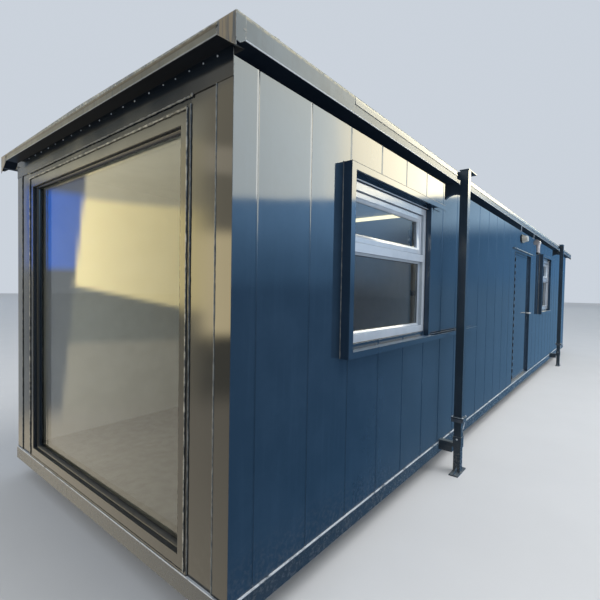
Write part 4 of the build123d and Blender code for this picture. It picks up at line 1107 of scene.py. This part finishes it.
def make_stage():
    bpy.ops.mesh.primitive_plane_add(size=160.0, location=(0.0, 0.0, 0.0))
    ground = bpy.context.object
    ground.name = "studio_floor"
    material, tree, shader = new_material("studio_floor")
    noise = object_noise(tree, 1.5, detail=3.0)
    fill(tree, shader, Base_Color=mix_colour(tree, noise, (0.58, 0.585, 0.59), (0.62, 0.625, 0.63)),
         Roughness=0.9, Specular_IOR_Level=0.1)
    ground.data.materials.append(material)
    ground.visible_glossy = False

    world = bpy.data.worlds.new("studio_world")
    world.use_nodes = True
    fill(world.node_tree, world.node_tree.nodes["Background"], Color=(0.70, 0.76, 0.84, 1.0), Strength=0.85)
    bpy.context.scene.world = world

    for name, place, aim, size, power, colour in (
            ("lamp_overhead", (-2.0, -5.0, 11.0), (0.0, 0.0, 1.0), 9.0, 900.0, (1.0, 0.98, 0.95)),
            ("lamp_front", (2.0, -14.0, 6.0), (0.0, 0.0, 1.2), 8.0, 380.0, (0.92, 0.96, 1.0)),
            ("lamp_near_end", (-15.0, 3.0, 5.0), (-6.0, 0.0, 1.2), 6.0, 300.0, (1.0, 0.95, 0.86))):
        lamp = bpy.data.lights.new(name, "AREA")
        lamp.shape = "DISK"
        lamp.size = size
        lamp.energy = power
        lamp.color = colour
        holder = add_object(name, lamp)
        holder.location = place
        holder.rotation_mode = "QUATERNION"
        holder.rotation_quaternion = (Vector(aim) - Vector(place)).to_track_quat("-Z", "Y")
        holder.visible_glossy = False
        holder.visible_camera = False


def step(low, high, value):
    """Smooth step between two values."""
    t = min(1.0, max(0.0, (value - low) / (high - low)))
    return t * t * (3.0 - 2.0 * t)


def blend(first, second, share):
    return [a + (b - a) * share for a, b in zip(first, second)]


def end_light(azimuth, elevation):
    """Light before the near end: a cool strip, a tall cream panel with a soft shade, and dim ground."""
    top = 13.7 + 0.62 * (azimuth - 107.6)
    glass_top = 12.6 + 0.42 * (azimuth - 107.6)
    colour = (0.06, 0.09, 0.13)
    if azimuth < 106.0:
        colour = blend((0.081, 0.1215, 0.1755), (0.81, 0.8505, 0.8505), step(106.0, 105.4, azimuth))
    cream = blend((5.6, 4.7, 2.2), (2.7, 2.4, 1.5), step(10.6, 11.4, elevation))
    cream = blend((0.50, 0.52, 0.44), cream, step(-0.6, 0.2, elevation + 0.22 * (azimuth - 111.2)))
    cream = blend(cream, (1.1, 1.0, 0.75), step(-7.0, -8.0, elevation))
    blue = blend((0.0, 0.40, 2.15), (0.12, 0.16, 0.36), step(11.2, 11.8, elevation))
    blue = blend((0.16, 0.19, 0.26), blue, step(1.6, 2.4, elevation))
    panel = blend(blue, cream, step(-0.3, 0.3, azimuth - 110.6 - 0.09 * elevation))
    panel = blend(panel, (2.1, 2.0, 1.5), step(glass_top - 0.3, glass_top + 0.3, elevation))
    post = blend((0.45, 0.42, 0.33), (6.2, 5.2, 3.1), step(-8.0, -6.0, elevation))
    post = blend(post, (1.5, 1.35, 1.0), step(7.0, 9.0, elevation))
    post = blend(post, (2.8, 2.5, 1.9), step(15.5, 16.5, elevation) * step(20.0, 19.0, elevation))
    panel = blend(panel, post, step(125.5, 127.5, azimuth))
    under = step(top + 0.4, top - 0.4, elevation)
    colour = blend(colour, panel, under * step(105.8, 106.4, azimuth))
    colour = blend(colour, (1.0, 1.0, 0.92), step(top - 0.4, top + 0.4, elevation)
                           * step(124.0, 127.0, azimuth))
    return blend(colour, (1.25, 1.12, 0.88), step(-14.0, -18.0, elevation))


def mirrored_light(azimuth, elevation):
    """Light that the gloss surfaces mirror: tall soft panels over a dim blue ground, warm at the end."""
    low = blend((0.09, 0.20, 0.38), (0.05, 0.16, 0.33), step(0.0, -30.0, elevation))
    high = blend((0.28, 0.60, 1.05), (0.9, 1.7, 2.8), step(2.0, 13.0, elevation))
    far = step(-30.0, -22.0, azimuth) * step(40.0, 10.0, azimuth)
    low = blend(low, (0.13, 0.26, 0.43), far)
    high = blend(high, blend((0.10, 0.24, 0.45), (0.8, 1.2, 1.6), step(7.0, 10.0, elevation)), far)
    behind = step(60.0, 95.0, abs(azimuth)) * (1.0 if azimuth > 0 else step(-110.0, -150.0, azimuth))
    low = blend(low, (0.40, 0.40, 0.38), behind)
    high = blend(high, (0.55, 0.62, 0.70), behind)
    colour = blend(low, high, step(-1.0, 3.0, elevation))
    panel_tone = blend((5.9, 6.3, 6.0), (8.5, 7.8, 5.8), step(-36.0, -30.0, azimuth))
    panel_tone = blend(panel_tone, (13.0, 13.0, 12.0), step(-60.0, -66.0, azimuth))
    front_panel = (step(-84.0, -80.0, azimuth) * step(-2.0, -6.0, azimuth)
                   * step(12.4, 13.2, elevation) * step(75.0, 60.0, elevation))
    colour = blend(colour, panel_tone, front_panel)
    if 100.0 < azimuth < 160.0:
        share = step(102.0, 104.0, azimuth) * step(158.0, 140.0, azimuth)
        colour = blend(colour, end_light(azimuth, elevation), share)
    return colour


def heading(azimuth, elevation):
    """Unit vector at an azimuth and an elevation in degrees."""
    a, e = math.radians(azimuth), math.radians(elevation)
    return Vector((math.cos(a) * math.cos(e), math.sin(a) * math.cos(e), math.sin(e)))


def make_reflection_dome():
    """Far dome that only mirror-like surfaces see, so that the gloss paint has something to mirror."""
    radius, centre = 60.0, Vector((-6.5, -1.3, 1.646))
    mesh = bmesh.new()
    layer = mesh.loops.layers.float_color.new("glow")
    azimuths = [*range(-180, 104), *(104 + n / 2 for n in range(52)), *range(130, 181)]
    elevations = [*range(-88, -18, 2), *(n / 2 for n in range(-36, 61)), *range(32, 90, 2)]
    glows = [[(*mirrored_light(azimuth, elevation), 1.0) for elevation in elevations] for azimuth in azimuths]
    grid = [[mesh.verts.new(centre + heading(azimuth, elevation) * radius) for elevation in elevations]
            for azimuth in azimuths]
    for i in range(len(azimuths) - 1):
        for k in range(len(elevations) - 1):
            face = mesh.faces.new([grid[i][k], grid[i + 1][k], grid[i + 1][k + 1], grid[i][k + 1]])
            places = ((i, k), (i + 1, k), (i + 1, k + 1), (i, k + 1))
            for loop, (p, q) in zip(face.loops, places):
                loop[layer] = glows[p][q]
    data = bpy.data.meshes.new("reflection_dome")
    mesh.to_mesh(data)
    mesh.free()
    material = bpy.data.materials.new("reflection_dome")
    material.use_nodes = True
    tree = material.node_tree
    tree.nodes.remove(tree.nodes["Principled BSDF"])
    glow = tree.nodes.new("ShaderNodeAttribute")
    glow.attribute_name = "glow"
    light = add_node(tree, "ShaderNodeEmission", Color=glow.outputs["Color"], Strength=1.0)
    tree.links.new(light.outputs["Emission"], tree.nodes["Material Output"].inputs["Surface"])
    material.cycles.emission_sampling = "NONE"
    data.materials.append(material)
    dome = add_object("reflection_dome", data)
    dome.visible_camera = False
    dome.visible_diffuse = False
    dome.visible_transmission = False
    dome.visible_shadow = False
    dome.visible_volume_scatter = False


make_stage()
make_reflection_dome()

# Small parts and eaves that the gloss walls don't mirror: the real walls show only open light there
for name in ("eaves_soffits", "fascia_front", "fascia_back", "roof_corner_caps", "leg_upper_brackets",
             "bulkhead_light", "power_inlet", "edge_strips", "light_rim", "inlet_caps", "inlet_screws",
             "eave_clips", "leg_tubes", "leg_lower_brackets", "inner_leg_front_near", "inner_leg_front_far",
             "leg_collars",
             "leg_welds", "leg_bolts", "leg_pins", "hinge_side_shade_strip", "picture_window_frame", "opening_shade_strips"):
    (nodes.get(name) or bpy.data.objects[name]).visible_glossy = False


# Camera, at the photograph's place and angle

CAMERA_PLACE = (-7.246, -2.686, 1.646)
CAMERA_AZIMUTH, CAMERA_PITCH, CAMERA_ROLL = 39.036, -1.594, 0.993
FOCAL_PIXELS, IMAGE_WIDTH, SENSOR_WIDTH = 400.46, 600.0, 36.0


def make_camera():
    """Camera turned by its azimuth, pitch and roll, with the lens length from its width in pixels."""
    roll = math.radians(CAMERA_ROLL)
    ahead = heading(CAMERA_AZIMUTH, CAMERA_PITCH)
    level = ahead.cross(PLUS_Z).normalized()
    upright = level.cross(ahead)
    right = level * math.cos(roll) + upright * math.sin(roll)
    up = upright * math.cos(roll) - level * math.sin(roll)
    lens = bpy.data.cameras.new("camera")
    lens.lens = SENSOR_WIDTH * FOCAL_PIXELS / IMAGE_WIDTH
    lens.sensor_width = SENSOR_WIDTH
    lens.clip_end = 400.0
    camera = add_object("camera", lens)
    camera.matrix_world = Matrix.Translation(CAMERA_PLACE) @ Matrix((right, up, -ahead)).transposed().to_4x4()
    bpy.context.scene.camera = camera


make_camera()
bpy.context.scene.view_settings.view_transform = "Standard"
